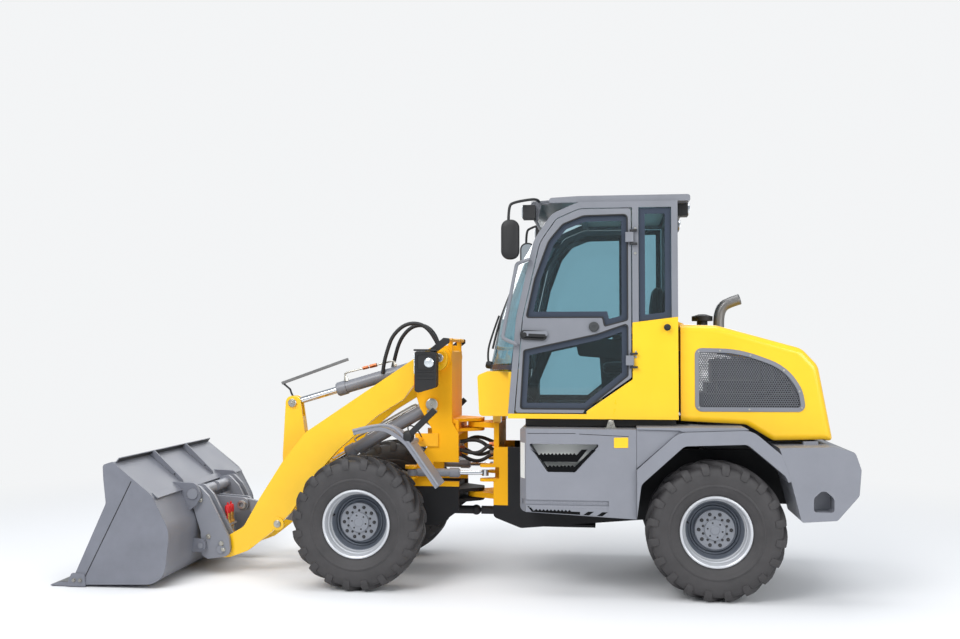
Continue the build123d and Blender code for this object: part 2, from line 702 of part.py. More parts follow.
for side in (1, -1):
    knuckle = bar(HOOD_HINGE, 11, 303, 377)
    knuckle += plate([(HOOD_HINGE[0], HOOD_HINGE[1] + 11, 0), (HOOD_FRONT_X - 40, HOOD_HINGE[1] - 5, 0),
                      (HOOD_FRONT_X - 40, 1922, 0), (HOOD_FRONT_X, 1922, 0)], 303, 377)
    knuckle -= bar(HOOD_HINGE, 6 + RUN_GAP, 0, 500)
    hood += knuckle if side > 0 else flip(knuckle)
save("hood", hood)

panel = extrude(offset(face_xz(side_vent, HOOD_Y - 14), amount=-RUN_GAP), amount=GRILLE, dir=(0, 1, 0))
for i in range(9):
    for j in range(6):
        x0 = -1205 - i * 74
        z0 = 1360 + j * 60
        if z0 < 1700 - max(0, -1400 - x0) * 0.62:
            panel -= block(x0, x0 - 60, HOOD_Y - 20, HOOD_Y + 5, z0, z0 + 46)
grilles = [panel, flip(panel)]
tail = plate([(tail_x[0] + 5, 1180 + RUN_GAP, 0), (tail_x[1] + 5, 1560 - RUN_GAP, 0), (tail_x[1] + 15, 1560 - RUN_GAP, 0),
              (tail_x[0] + 15, 1180 + RUN_GAP, 0)], -430 + RUN_GAP, 430 - RUN_GAP)
for j in range(6):
    z0 = 1205 + j * 58
    for y0 in (-400, 15):
        tail -= block(-2200, -1900, y0, y0 + 385, z0, z0 + 40)
save("hood_grilles", *grilles, tail)

exhaust_path = [(-1395, 150, 1880), (-1395, 150, 2075), (-1560, 150, 2140)]
exhaust = tube_path(exhaust_path, [90], 42)
mouth = Vector(*exhaust_path[2])
run = (mouth - Vector(*exhaust_path[1])).normalized()
exhaust -= Plane(origin=mouth - run * 60, z_dir=run) * Cylinder(36, 140)
exhaust -= plate(hood_outline, -HOOD_Y, HOOD_Y)
save("exhaust", exhaust)
cap = Pos(-1250, 150, 1932) * (Pos(0, 0, 10) * Cylinder(40, 60) + Pos(0, 0, 55) * Cylinder(78, 36)
                               + Pos(0, 0, 80) * Cone(78, 30, 16))
save("pre_cleaner", cap - plate(hood_outline, -HOOD_Y, HOOD_Y))

# Front frame: two tower plates, cross plates, hinge ears and the pins that carry the loader

tower_side = [
    (690, 1784, 40),
    (800, 1790, 70),
    (935, 1600, 60),
    (950, 1440, 50),
    (905, 1300, 80),
    (800, 1120, 80),
    (850, 1000, 60),
    (940, 850, 60),
    (980, 730, 80),
    (1540, 660, 60),
    (1560, 430, 40),
    (760, 400, 60),
    (600, 520, 40),
    (605, 1110, 40),
    (TOWER_BACK_X, 1190, 40),
    (TOWER_BACK_X, 1740, 30),
]
tower = plate(tower_side, TOWER_Y - TOWER_WALL, TOWER_Y)
tower -= block(500, 800, 0, 400, STEER_Z - 74, STEER_Z + 74)
tower -= bar((FRONT_AXLE_X, AXLE_Z), 85, 0, 400)
front_frame = tower + flip(tower)
inner = TOWER_Y - TOWER_WALL
for outline in (
    [(TOWER_BACK_X, 1200, 0), (TOWER_BACK_X, 1735, 0), (672, 1745, 0), (672, 1200, 0)],
    [(608, 1090, 0), (608, 1205, 0), (660, 1215, 0), (660, 1190, 0), (633, 1180, 0), (633, 1090, 0)],
    [(625, 560, 0), (625, 700, 0), (650, 700, 0), (650, 560, 0)],
    [(760, 410, 0), (760, 435, 0), (1100, 435, 0), (1100, 410, 0)],
    [(1465, 440, 0), (1465, 465, 0), (1540, 465, 0), (1540, 440, 0)],
    [(1515, 440, 0), (1515, 650, 0), (1545, 650, 0), (1545, 440, 0)],
):
    front_frame += plate(outline, -inner, inner)
for z in EAR_Z:
    for dz in (-1, 1):
        lug_z = z + dz * (EAR_THICK + 2 * DOOR_GAP) / 2 + dz * 12
        front_frame += ear(lug_z, 640, 24, 0)
    front_frame += Pos(PIVOT_X, 0, z) * Cylinder(HINGE_PIN_RADIUS, EAR_THICK + 60)
arm_inner = ARM_Y - ARM_WALL
for side in (1, -1):
    carried = bar(ARM_PIVOT, PIN_RADIUS, inner, ARM_Y + 12)
    carried += bar(ARM_PIVOT, 85, TOWER_Y, arm_inner - RUN_GAP)
    carried += bar(ARM_PIVOT, 50, ARM_Y + RUN_GAP, ARM_Y + 14)
    carried += bar(LIFT_BASE, PIN_RADIUS, LIFT_Y - EYE_WIDTH / 2 - 30, TOWER_Y + 14)
    carried += bar(LIFT_BASE, 52, TOWER_Y, TOWER_Y + 14)
    carried += plate([(LIFT_BASE[0] + 55, LIFT_BASE[1] - 55, 50), (LIFT_BASE[0] + 55, LIFT_BASE[1] + 55, 50),
                      (660, LIFT_BASE[1] + 70, 0), (660, LIFT_BASE[1] - 70, 0)],
                     LIFT_Y - EYE_WIDTH / 2 - 30, LIFT_Y - EYE_WIDTH / 2 - 8)
    carried += plate([(TILT_BASE[0] + 50, TILT_BASE[1] - 50, 45), (TILT_BASE[0] + 50, TILT_BASE[1] + 50, 45),
                      (660, 1735, 0), (660, 1540, 0)], EYE_WIDTH / 2 + 8, EYE_WIDTH / 2 + 30)
    for z0 in (STEER_Z - 50, STEER_Z + 30):
        foot = FilletPolyline((STEER_FRONT[0] - 38, TOWER_Y - 5), (STEER_FRONT[0] + 60, TOWER_Y - 5),
                              (
                                  STEER_FRONT[0] + 40,
                                  STEER_FRONT[1] + 40,
                              ), (STEER_FRONT[0] - 38, STEER_FRONT[1] + 40),
                              radius=[0, 0, 36, 36], close=True)
        carried += Pos(0, 0, z0) * extrude(make_face(foot), amount=20)
    carried += Pos(STEER_FRONT[0], STEER_FRONT[1], STEER_Z) * Cylinder(STEER_PIN_RADIUS, 108)
    carried += block(TOWER_BACK_X, 690, inner - 20, inner + 5, 1700, LAMP_BAR[1] + 15)
    front_frame += carried if side > 0 else flip(carried)
front_frame += bar(LAMP_BAR, 14, -LAMP_Y, LAMP_Y)
front_frame += bar(TILT_BASE, PIN_RADIUS, -EYE_WIDTH / 2 - 40, EYE_WIDTH / 2 + 40)
save("front_frame", front_frame)

front_axle = axle(FRONT_AXLE_X)
for side in (1, -1):
    front_axle += block(FRONT_AXLE_X - 70, FRONT_AXLE_X + 70, side * (TOWER_Y + RUN_GAP), side * 330,
                        AXLE_Z - 60, AXLE_Z + 60)
save("front_axle", front_axle)
shaft = rod((PIVOT_X, 0, AXLE_Z), (FRONT_AXLE_X - 165 - RUN_GAP, 0, AXLE_Z), SHAFT_RADIUS)
shaft += Pos(PIVOT_X, 0, AXLE_Z) * Sphere(40)
save("front_shaft", shaft)

# Front fenders: curved bands behind and over the front wheels, on brackets from the tower

fender_path = [(670, 770, 0), (905, 1098, 260), (1075, 1205, 200), (1300, 1160, 0)]
post = (900, 1066)
fenders = []
for side in (1, -1):
    solid = plate(band(fender_path[::-1], FENDER_THICK), FENDER_INNER_Y, FENDER_OUTER_Y)
    solid += bar(post, 22, TOWER_Y + RUN_GAP, FENDER_OUTER_Y - 60)
    solid += plate([(post[0] + 40, post[1] - 60, 0), (post[0] + 40, post[1] + 40, 0), (760, post[1] + 40, 0),
                    (760, post[1] - 60, 0)], TOWER_Y + RUN_GAP, TOWER_Y + 16)
    fenders.append(solid if side > 0 else flip(solid))
save("front_fenders", *fenders)

# Head lamps on the tower's sides, and marker stalks on the fenders

lamps = []
for side in (1, -1):
    lamp = plate(
        [(900, 1740, 20), (735, 1740, 30), (735, 1470, 30), (870, 1430, 20), (900, 1440, 20)][::-1],
        420,
        520,
    )
    lamp += plate([(650, 1838, 10), (695, 1842, 10), (795, 1760, 0), (795, 1735, 0), (745, 1735, 0), (650, 1805, 10)],
                  LAMP_Y + RUN_GAP, LAMP_Y + 22)
    lamps.append(lamp if side > 0 else flip(lamp))
save("head_lamps", *lamps)

# Arms: two cranked plates joined by a tube, with brackets for the lever and lugs for the lift rods

arm_side = [
    (690, 1610, 70),
    (670, 1740, 70),
    (800, 1775, 60),
    (1801, 1106, 200),
    (1984, 872, 80),
    (2159, 598, 150),
    (2290, 370, 90),
    (2430, 290, 40),
    (2545, 270, 70),
    (2540, 125, 65),
    (2400, 130, 60),
    (2253, 185, 80),
    (2077, 321, 80),
    (1909, 487, 120),
    (1640, 860, 200),
    (1534, 978, 100),
    (1223, 1245, 200),
    (1020, 1370, 80),
    (900, 1540, 100),
]
arm = plate(arm_side, arm_inner, ARM_Y)
for pin in (ARM_PIVOT, COUPLER_PIN):
    arm -= bar(pin, PIN_RADIUS + RUN_GAP, 0, 500)
arm += bar((2013, 400), 52, ARM_Y, ARM_Y + 14)
arms = arm + flip(arm)
arms += bar(ARM_TUBE, ARM_TUBE_RADIUS, -arm_inner, arm_inner)
for side in (1, -1):
    bracket = [(ARM_TUBE[0] - 55, ARM_TUBE[1] - 50, 45), (ARM_TUBE[0] - 50, ARM_TUBE[1] + 60, 45),
               (LEVER_PIVOT[0] + 70, LEVER_PIVOT[1] + 70, 60), (LEVER_PIVOT[0] + 70, LEVER_PIVOT[1] - 70, 60)]
    solid = plate(bracket, LEVER_Y + 12, LEVER_Y + 34)
    lug = [(ARM_TUBE[0] + 30, ARM_TUBE[1] + 45, 20), (ARM_TUBE[0] - 10, ARM_TUBE[1] - 50, 20),
           (LIFT_EYE[0] - 60, LIFT_EYE[1] - 25, 45), (LIFT_EYE[0] - 25, LIFT_EYE[1] + 60, 45)]
    for y in (LIFT_Y - EYE_WIDTH / 2 - 30, LIFT_Y + EYE_WIDTH / 2 + 8):
        solid += plate(lug, y, y + 22)
    solid += bar(LIFT_EYE, 40, LIFT_Y + EYE_WIDTH / 2 + 8, arm_inner)
    arms += solid if side > 0 else flip(solid)
arms += bar(LEVER_PIVOT, PIN_RADIUS, -LEVER_Y - 50, LEVER_Y + 50)
save("arms", arms)

# Lever: a bent plate with a forked top for the tilt rod and a forked foot for the link

lever_side = [
    (1935, 1378, 54),
    (2050, 1378, 54),
    (2075, 900, 150),
    (2068, 730, 80),
    (1900, 330, 54),
    (1785, 330, 54),
    (1800, 470, 80),
    (1885, 740, 120),
    (1885, 1050, 150),
]
lever = plate(lever_side, -LEVER_Y, LEVER_Y)
lever -= bar(LEVER_PIVOT, PIN_RADIUS + RUN_GAP, -200, 200)
fork_gap = EYE_WIDTH / 2 + 4
lever -= block(1800, 2200, -fork_gap, fork_gap, 1215, 1500)
lever -= block(1600, 2070, -fork_gap, fork_gap, 200, 560)
for end in (LEVER_TOP, LEVER_FOOT):
    for y in (LEVER_Y, -LEVER_Y - 12):
        lever += bar(end, 34, y, y + 12)
lever += bar(LEVER_FOOT, PIN_RADIUS, -LEVER_Y, LEVER_Y)
save("lever", lever)


def strut(start, end, radius, half):
    """Flat link with round eyes at both ends."""
    length = math.hypot(end[0] - start[0], end[1] - start[1])
    slot = SlotCenterToCenter(length, 2 * radius)
    angle = math.degrees(math.atan2(end[1] - start[1], end[0] - start[0]))
    flat = Pos((start[0] + end[0]) / 2, (start[1] + end[1]) / 2) * Rot(0, 0, angle) * slot
    return extrude(Plane.XZ.offset(half) * flat, amount=2 * half, dir=(0, 1, 0))


link = strut(LEVER_FOOT, LINK_PIN, 44, EYE_WIDTH / 2 - 4)
link -= bar(LEVER_FOOT, PIN_RADIUS + RUN_GAP, -200, 200)
save("link", link)

# Quick coupler: a pair of cheeks round each arm end, cross tubes and the link's lugs

cheek = [
    (2737, 678, 30),
    (2640, 690, 40),
    (2560, 610, 40),
    (2390, 290, 60),
    (2375, 150, 60),
    (2560, 122, 30),
    (2612, 150, 30),
    (2620, 330, 80),
]
coupler = None
for y in (arm_inner - 8 - COUPLER_PLATE, ARM_Y + 16):
    pair = plate(cheek, y, y + COUPLER_PLATE)
    coupler = pair if coupler is None else coupler + pair
coupler += bar(COUPLER_PIN, PIN_RADIUS, arm_inner - 40, ARM_Y + 58)
coupler += bar(LOCK_PIN, LOCK_PIN_RADIUS, ARM_Y + 20, HANGER_Y[1] + 8)
coupler = coupler + flip(coupler)
coupler += bar(TOP_TUBE, TOP_TUBE_RADIUS, -HANGER_Y[1] - 8, HANGER_Y[1] + 8)
back = [(2590, 180, 0), (2655, 560, 0), (2630, 565, 0), (2565, 185, 0)]
coupler += plate(back, -arm_inner + 10, arm_inner - 10)
coupler -= block(2540, 2760, -30, 30, 400, 700)
for side in (1, -1):
    ear_side = [(LINK_PIN[0] - 48, LINK_PIN[1] - 45, 45), (LINK_PIN[0] - 40, LINK_PIN[1] + 50, 45), (2640, 570, 0),
                (2610, 390, 0)]
    solid = plate(ear_side, EYE_WIDTH / 2 + 6, EYE_WIDTH / 2 + 32)
    solid += bar(LINK_PIN, 34, EYE_WIDTH / 2 + 32, EYE_WIDTH / 2 + 46)
    coupler += solid if side > 0 else flip(solid)
save("coupler", coupler)

# Bucket: a bent wrapper, side plates, cutting edge, side cutters and hanger ribs

wrapper_path = [
    (3170, 900, 0),
    (3095, 922, 20),
    (2790, 683, 120),
    (2650, 420, 220),
    (2690, 30 + GROUND_GAP, 150),
    (3420, 8 + GROUND_GAP, 0),
]
wrapper = plate(band(wrapper_path, BUCKET_PLATE), -BUCKET_Y + 10 + BUCKET_SIDE, BUCKET_Y - 10 - BUCKET_SIDE)
side_outline = [
    (3098, 924, 20),
    (3171, 900, 25),
    (3165, 800, 40),
    (3143, 617, 60),
    (3370, 110, 300),
    (3420, 8 + GROUND_GAP, 0),
    (2690, 30 + GROUND_GAP, 150),
    (2648, 420, 220),
    (2790, 686, 120),
]
edge_tip = [(3330, GROUND_GAP, 0), (BUCKET_TIP_X, GROUND_GAP, 0), (BUCKET_TIP_X, GROUND_GAP + 6, 0), (3490, 34, 0),
            (3330, 34, 0)]
cutter = [(3290, GROUND_GAP, 0), (3441, GROUND_GAP, 0), (3400, 102, 15), (3298, 100, 15)]
top_hook = [
    (2600, 620, 40),
    (2650, 712, 40),
    (2846, 720, 0),
    (2806, 690, 0),
    (2700, 500, 0),
    (2640, 545, 30),
]
lock_lug = [(2562, 205, 25), (2572, 275, 25), (2672, 290, 0), (2683, 180, 0), (2600, 185, 20)]
bucket = wrapper
bucket += plate(edge_tip, -BUCKET_Y + 10, BUCKET_Y - 10)
for side in (1, -1):
    solid = plate(side_outline, BUCKET_Y - 10 - BUCKET_SIDE, BUCKET_Y - 10)
    solid += plate(cutter, BUCKET_Y - 12, BUCKET_Y)
    solid += plate(top_hook, *HANGER_Y) - bar(TOP_TUBE, TOP_TUBE_RADIUS + RUN_GAP, 0, 500)
    solid += plate(lock_lug, *HANGER_Y) - bar(LOCK_PIN, LOCK_PIN_RADIUS + RUN_GAP, 0, 500)
    bucket += solid if side > 0 else flip(solid)
save("bucket", bucket)

# Cylinders: a bored tube with an eye, and a rod with an eye, drawn along X from the base eye


def cylinder_tube(tube, rod_radius, length, half):
    """Tube from its base eye at the origin, bored for the rod, with a gland ring at its mouth."""
    eye = EYE_RADIUS if tube > 35 else STEER_EYE_RADIUS
    start = eye + (28 if tube > 35 else 20)
    solid = Rot(0, 90, 0) * Cylinder(tube, length - start, align=(Align.CENTER, Align.CENTER, Align.MIN))
    solid = Pos(start, 0, 0) * solid
    solid += block(0, start + 1, -half, half, -eye * 0.7, eye * 0.7)
    gland = Rot(0, 90, 0) * Cylinder(tube + 7, 70, align=(Align.CENTER, Align.CENTER, Align.MIN))
    solid += Pos(length - 80, 0, 0) * gland
    solid += Rot(90, 0, 0) * Cylinder(eye, 2 * half)
    solid -= Pos(start + 12, 0, 0) * Rot(0, 90, 0) * Cylinder(
        rod_radius + RUN_GAP, length, align=(Align.CENTER, Align.CENTER, Align.MIN))
    return solid


def cylinder_rod(rod_radius, eye, start, end, half):
    """Rod along X from start to its eye at end."""
    solid = Pos(start, 0, 0) * Rot(0, 90, 0) * Cylinder(
        rod_radius,
        end - start,
        align=(Align.CENTER, Align.CENTER, Align.MIN),
    )
    return solid + Pos(end, 0, 0) * Rot(90, 0, 0) * Cylinder(eye, 2 * half)


def aim(solid, base, eye, y):
    """Turn a cylinder drawn along X so that it runs from base to eye in the plane at y."""
    angle = math.degrees(math.atan2(eye[1] - base[1], eye[0] - base[0]))
    return Pos(base[0], y, base[1]) * Rot(0, -angle, 0) * solid


half_eye = EYE_WIDTH / 2
lift_length = math.hypot(LIFT_EYE[0] - LIFT_BASE[0], LIFT_EYE[1] - LIFT_BASE[1])
lift_tube = cylinder_tube(LIFT_TUBE_RADIUS, LIFT_ROD_RADIUS, LIFT_TUBE_LENGTH, half_eye)
lift_tube -= Rot(90, 0, 0) * Cylinder(PIN_RADIUS + RUN_GAP, 200)
lift_rod = cylinder_rod(LIFT_ROD_RADIUS, EYE_RADIUS, lift_length - LIFT_ROD_LENGTH, lift_length, half_eye)
save("lift_barrels", *[aim(lift_tube, LIFT_BASE, LIFT_EYE, y) for y in (LIFT_Y, -LIFT_Y)])
save("lift_rods", *[aim(lift_rod, LIFT_BASE, LIFT_EYE, y) for y in (LIFT_Y, -LIFT_Y)])

tilt_length = math.hypot(LEVER_TOP[0] - TILT_BASE[0], LEVER_TOP[1] - TILT_BASE[1])
tilt_tube = cylinder_tube(TILT_TUBE_RADIUS, TILT_ROD_RADIUS, TILT_TUBE_LENGTH, half_eye)
tilt_tube -= Rot(90, 0, 0) * Cylinder(PIN_RADIUS + RUN_GAP, 200)
tilt_rod = cylinder_rod(
    TILT_ROD_RADIUS,
    EYE_RADIUS - 2,
    tilt_length - TILT_ROD_LENGTH,
    tilt_length,
    half_eye - 2,
)
save("tilt_barrel", aim(tilt_tube, TILT_BASE, LEVER_TOP, 0))
save("tilt_rod", aim(tilt_rod, TILT_BASE, LEVER_TOP, 0))

steer_dx = STEER_REAR[0] - STEER_FRONT[0]
steer_dy = STEER_REAR[1] - STEER_FRONT[1]
steer_length = math.hypot(steer_dx, steer_dy)
steer_turn = math.degrees(math.atan2(steer_dy, steer_dx))
steer_tube = cylinder_tube(STEER_TUBE_RADIUS, STEER_ROD_RADIUS, STEER_TUBE_LENGTH, 24)
steer_tube -= Rot(90, 0, 0) * Cylinder(STEER_PIN_RADIUS + RUN_GAP, 200)
steer_rod = cylinder_rod(STEER_ROD_RADIUS, 26, steer_length - STEER_ROD_LENGTH, steer_length, 22)
for side, name in ((1, "left"), (-1, "right")):
    for kind, solid in (("barrel", steer_tube), ("rod", steer_rod)):
        placed = Pos(
            STEER_FRONT[0],
            STEER_FRONT[1],
            STEER_Z,
        ) * Rot(0, 0, steer_turn) * Rot(90, 0, 0) * solid
        save(f"steer_{kind}_{name}", placed if side > 0 else flip(placed))
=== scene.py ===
"""Looks of the articulated wheel loader: paint, glass, tyres, hoses, lamps and small fittings.

Metres. Places are given as on the machine, with X = 0 midway between its axles, and at() moves them
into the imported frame, whose origin is under the middle of the whole machine.
"""
import math

import bmesh
import bpy
from mathutils import Matrix, Vector


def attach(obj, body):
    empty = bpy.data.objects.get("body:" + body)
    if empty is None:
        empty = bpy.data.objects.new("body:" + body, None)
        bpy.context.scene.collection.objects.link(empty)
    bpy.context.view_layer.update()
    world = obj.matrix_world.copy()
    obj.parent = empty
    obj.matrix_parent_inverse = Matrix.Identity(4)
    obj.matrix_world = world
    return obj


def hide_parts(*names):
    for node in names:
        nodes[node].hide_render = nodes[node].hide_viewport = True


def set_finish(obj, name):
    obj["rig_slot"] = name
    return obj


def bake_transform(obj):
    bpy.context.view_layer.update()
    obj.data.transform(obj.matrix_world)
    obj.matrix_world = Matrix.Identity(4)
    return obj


ORIGIN_X = 0.664
SIDES = {"left": 1, "right": -1}
CAB_Y = 0.69
EXHAUST_Y = 0.15

# Wheels
AXLE_X = {"front": 1.28, "rear": -1.28}
AXLE_Z = 0.485
WHEEL_Y = 0.66
TYRE_RADIUS = 0.485
TREAD_RADIUS = 0.459
LUGS = 20
LUG_LEAN = 0.142
WHEEL_STEPS = 96

# Points of the loader, X and Z
ARM_PIVOT = (0.74, 1.69)
LEVER_TOP = (1.993, 1.322)
LEVER_PIVOT = (1.98, 0.8)
LEVER_FOOT = (1.84, 0.38)
ARM_EYE = (2.013, 0.4)
LINK_PIN = (2.405, 0.5)
LIFT_BASE = (0.81, 1.33)
LIFT_EYE = (1.64, 0.86)

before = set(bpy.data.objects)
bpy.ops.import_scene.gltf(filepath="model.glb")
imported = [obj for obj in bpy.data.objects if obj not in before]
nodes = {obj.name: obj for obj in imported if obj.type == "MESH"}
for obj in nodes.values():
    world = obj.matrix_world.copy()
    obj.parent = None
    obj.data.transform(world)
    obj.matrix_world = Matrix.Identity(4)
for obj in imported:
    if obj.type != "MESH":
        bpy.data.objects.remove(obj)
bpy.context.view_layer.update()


def at(x, y, z):
    """A place on the machine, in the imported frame."""
    return Vector((x - ORIGIN_X, y, z))


def add_object(name, data):
    """New object in the scene."""
    obj = bpy.data.objects.new(name, data)
    bpy.context.scene.collection.objects.link(obj)
    return obj


# Materials

CLOUD_LOW = 0.3
CLOUD_HIGH = 0.7


def linear(colour):
    """A screen colour from 0 to 255 as the shader's linear values."""
    parts = [c / 255 for c in colour]
    return tuple(c / 12.92 if c <= 0.04045 else ((c + 0.055) / 1.055) ** 2.4 for c in parts) + (1.0,)


def fill(shader, **values):
    """Set a node's inputs by name."""
    for name, value in values.items():
        shader.inputs[name.replace("_", " ")].default_value = value
    return shader


def node(tree, kind, **values):
    """New shader node with some of its inputs set."""
    return fill(tree.nodes.new("ShaderNode" + kind), **values)


def reckon(tree, operation, *sources):
    """Output of a new math node on outputs and numbers."""
    made = node(tree, "Math")
    made.operation = operation
    for socket, source in zip(made.inputs, sources):
        if isinstance(source, float):
            socket.default_value = source
        else:
            tree.links.new(source, socket)
    return made.outputs[0]


def surface(name, colour, rough, vary=0.08, grain=90.0, bump=0.08, metallic=0.0, edge=0.004, patch=3.0,
            under=None, **sockets):
    """Material with cloudy colour and roughness, a fine skin and softened edges.

    under is a second colour, and the (axis, level) rows above which the first one shows. Y counts outwards
    from the middle.
    """
    material = bpy.data.materials.new(name)
    material.use_nodes = True
    tree = material.node_tree
    link = tree.links.new
    shader = tree.nodes["Principled BSDF"]
    places = node(tree, "TexCoord").outputs["Object"]
    cloud = node(tree, "TexNoise", Scale=patch, Detail=8, Roughness=0.65)
    link(places, cloud.inputs["Vector"])
    ramp = node(tree, "ValToRGB")
    base = linear(colour)[:3]
    dark, bright = ramp.color_ramp.elements
    dark.position = CLOUD_LOW
    bright.position = CLOUD_HIGH
    dark.color = tuple(c * (1 - vary) for c in base) + (1,)
    bright.color = tuple(min(1, c * (1 + vary * 0.6)) for c in base) + (1,)
    link(cloud.outputs["Fac"], ramp.inputs["Fac"])
    paint = ramp.outputs["Color"]
    if under:
        other, rows = under
        split = node(tree, "SeparateXYZ")
        link(places, split.inputs["Vector"])
        above = None
        for axis, level in rows:
            height = split.outputs[axis]
            if axis == "Y":
                height = reckon(tree, "ABSOLUTE", height)
            test = reckon(tree, "GREATER_THAN", height, level)
            above = reckon(tree, "MULTIPLY", above, test) if above else test
        choose = node(tree, "Mix")
        choose.data_type = "RGBA"
        choose.inputs[6].default_value = linear(other)
        link(above, choose.inputs[0])
        link(paint, choose.inputs[7])
        paint = choose.outputs[2]
    link(paint, shader.inputs["Base Color"])
    spread = node(tree, "MapRange", From_Min=CLOUD_LOW, From_Max=CLOUD_HIGH, To_Min=max(0.02, rough - 0.06),
                  To_Max=min(1.0, rough + 0.08))
    link(cloud.outputs["Fac"], spread.inputs["Value"])
    link(spread.outputs["Result"], shader.inputs["Roughness"])
    skin = node(tree, "TexNoise", Scale=grain, Detail=3)
    link(places, skin.inputs["Vector"])
    relief = node(tree, "Bump", Strength=bump, Distance=0.002)
    link(skin.outputs["Fac"], relief.inputs["Height"])
    if edge:
        soft = node(tree, "Bevel", Radius=edge)
        soft.samples = 4
        link(soft.outputs["Normal"], relief.inputs["Normal"])
    link(relief.outputs["Normal"], shader.inputs["Normal"])
    fill(shader, Metallic=metallic, **sockets)
    return material


def glass(name, colour):
    """Clear tinted glass."""
    material = bpy.data.materials.new(name)
    material.use_nodes = True
    fill(material.node_tree.nodes["Principled BSDF"], Base_Color=linear(colour), Roughness=0.015, IOR=1.45,
         Transmission_Weight=1.0)
    return material


YELLOW_TONE = (253, 199, 22)
BLACK_TONE = (34, 34, 36)
# Painted shade: the frames' yellow is the body yellow darkened to the orange tone it takes in shadow
PAINTED_SHADE_YELLOW = (246, 178, 20)
GREY_TONE = (130, 132, 140)
PRIMER = dict(rough=0.6, vary=0.06, grain=160, bump=0.06, Specular_IOR_Level=0.2)
TOWER_BLACK = (BLACK_TONE, [("Z", 0.7)])
HITCH_BLACK = (BLACK_TONE, [("X", 0.22 - ORIGIN_X), ("Z", 0.57)])
FENDER_SHADE_YELLOW = (PAINTED_SHADE_YELLOW, [("Y", 0.45)])

YELLOW = surface("yellow_enamel", YELLOW_TONE, 0.32, vary=0.05, grain=160, bump=0.05, Coat_Weight=0.4,
                 Coat_Roughness=0.12)
# The tower, the hitch and the fenders' inner parts carry that yellow of painted shade; their black parts are
# real two-tone paint.
TOWER_SHADED_PAINT = surface("tower_enamel_painted_shade", PAINTED_SHADE_YELLOW, under=TOWER_BLACK, **PRIMER)
HITCH_SHADED_PAINT = surface("hitch_enamel_painted_shade", PAINTED_SHADE_YELLOW, under=HITCH_BLACK, **PRIMER)
GREY = surface("grey_enamel", GREY_TONE, 0.42, vary=0.07, grain=160, bump=0.06, Coat_Weight=0.15,
               Coat_Roughness=0.25)
FENDER_SHADED_PAINT = surface("fender_enamel_painted_shade", GREY_TONE, 0.42, grain=160, bump=0.06, under=FENDER_SHADE_YELLOW)
FRAME_GREY = surface("cab_grey", (124, 126, 133), 0.4, vary=0.06, grain=160, bump=0.05, Coat_Weight=0.2,
                     Coat_Roughness=0.2)
BUCKET_GREY = surface("bucket_grey", (116, 118, 127), 0.45, vary=0.12, grain=110, bump=0.1, patch=4.0)
# Chassis black. It is also the colour of painted shade, on the bucket's lip strip and in the block under the
# cab.
DARK = surface("chassis_black_and_painted_shade", (38, 38, 40), 0.5, vary=0.2, grain=120, bump=0.12)
BLACK = surface("moulded_black", (22, 22, 24), 0.55, vary=0.15, grain=500, bump=0.25)
# Black of painted shadow, for the shade under the side boxes' serrated treads.
STEP_SHADOW_BLACK = surface("step_shadow_black", (9, 10, 12), 0.75, vary=0.15, grain=500, bump=0.2, Specular_IOR_Level=0.12)
RUBBER = surface("hose_rubber", (30, 30, 32), 0.55, vary=0.15, grain=300, bump=0.15, edge=0)
TYRE = surface("tyre_rubber", (60, 58, 59), 0.62, vary=0.3, grain=220, bump=0.3, edge=0, patch=7.0)
SILVER = surface("rim_silver", (205, 207, 211), 0.34, vary=0.06, grain=200, bump=0.05, metallic=0.35)
DISH_GREY = surface("dish_grey", (104, 110, 120), 0.4, vary=0.08, grain=160, bump=0.06, metallic=0.3)
HUB_GREY = surface("hub_grey", (132, 135, 142), 0.42, vary=0.08, grain=140, bump=0.08, metallic=0.3)
IRON = surface("cast_iron", (58, 58, 60), 0.65, vary=0.2, grain=90, bump=0.3, metallic=0.4)
ALUMINISED = surface("aluminised_pipe", (128, 127, 127), 0.42, vary=0.16, grain=130, bump=0.1, metallic=0.7)
ZINC = surface("zinc_plate", (186, 184, 176), 0.3, vary=0.12, grain=260, bump=0.05, metallic=0.9, edge=0.001)
BRASS = surface("brass", (190, 150, 84), 0.3, vary=0.15, grain=200, bump=0.05, metallic=1.0, edge=0.001)
COPPER = surface("copper", (190, 118, 82), 0.32, vary=0.15, grain=200, bump=0.05, metallic=1.0, edge=0.001)
CHROME = surface("hard_chrome", (214, 216, 220), 0.1, vary=0.03, grain=400, bump=0.01, metallic=1.0, edge=0)
STEEL = surface("worn_steel", (150, 148, 144), 0.38, vary=0.25, grain=70, bump=0.2, metallic=0.9, patch=9.0)
RED = surface("red_cap", (196, 24, 30), 0.4, vary=0.06, grain=400, bump=0.08, edge=0.001)
# Pale plates and lining. In the step recesses this pale is painted light.
PALE = surface("pale_plate_and_painted_light", (226, 227, 224), 0.4, vary=0.04, grain=250, bump=0.04, edge=0.001)
AMBER = surface("amber_lens", (224, 120, 10), 0.2, vary=0.08, grain=300, bump=0.15, edge=0.001)
RED_LENS = surface("red_lens", (170, 14, 18), 0.2, vary=0.08, grain=300, bump=0.15, edge=0.001)
LAMP = surface("lamp_lens", (214, 220, 224), 0.12, vary=0.06, grain=120, bump=0.35, metallic=0.5, edge=0.001)
MIRROR = surface("mirror_face", (216, 220, 222), 0.04, vary=0.02, grain=50, bump=0.0, metallic=1.0, edge=0)
FRIT = surface("glass_border", (56, 64, 78), 0.18, vary=0.06, grain=300, bump=0.03, edge=0.001)
CLOTH = surface("seat_cloth", (40, 41, 44), 0.9, vary=0.2, grain=900, bump=0.5, edge=0, Sheen_Weight=0.3)
TRIM = surface("cab_trim", (58, 60, 62), 0.7, vary=0.1, grain=500, bump=0.3)
MESH_GREY = surface("mesh_grey", (104, 106, 112), 0.45, vary=0.08, grain=300, bump=0.05, edge=0)
PANE = glass("window_glass", (172, 203, 212))

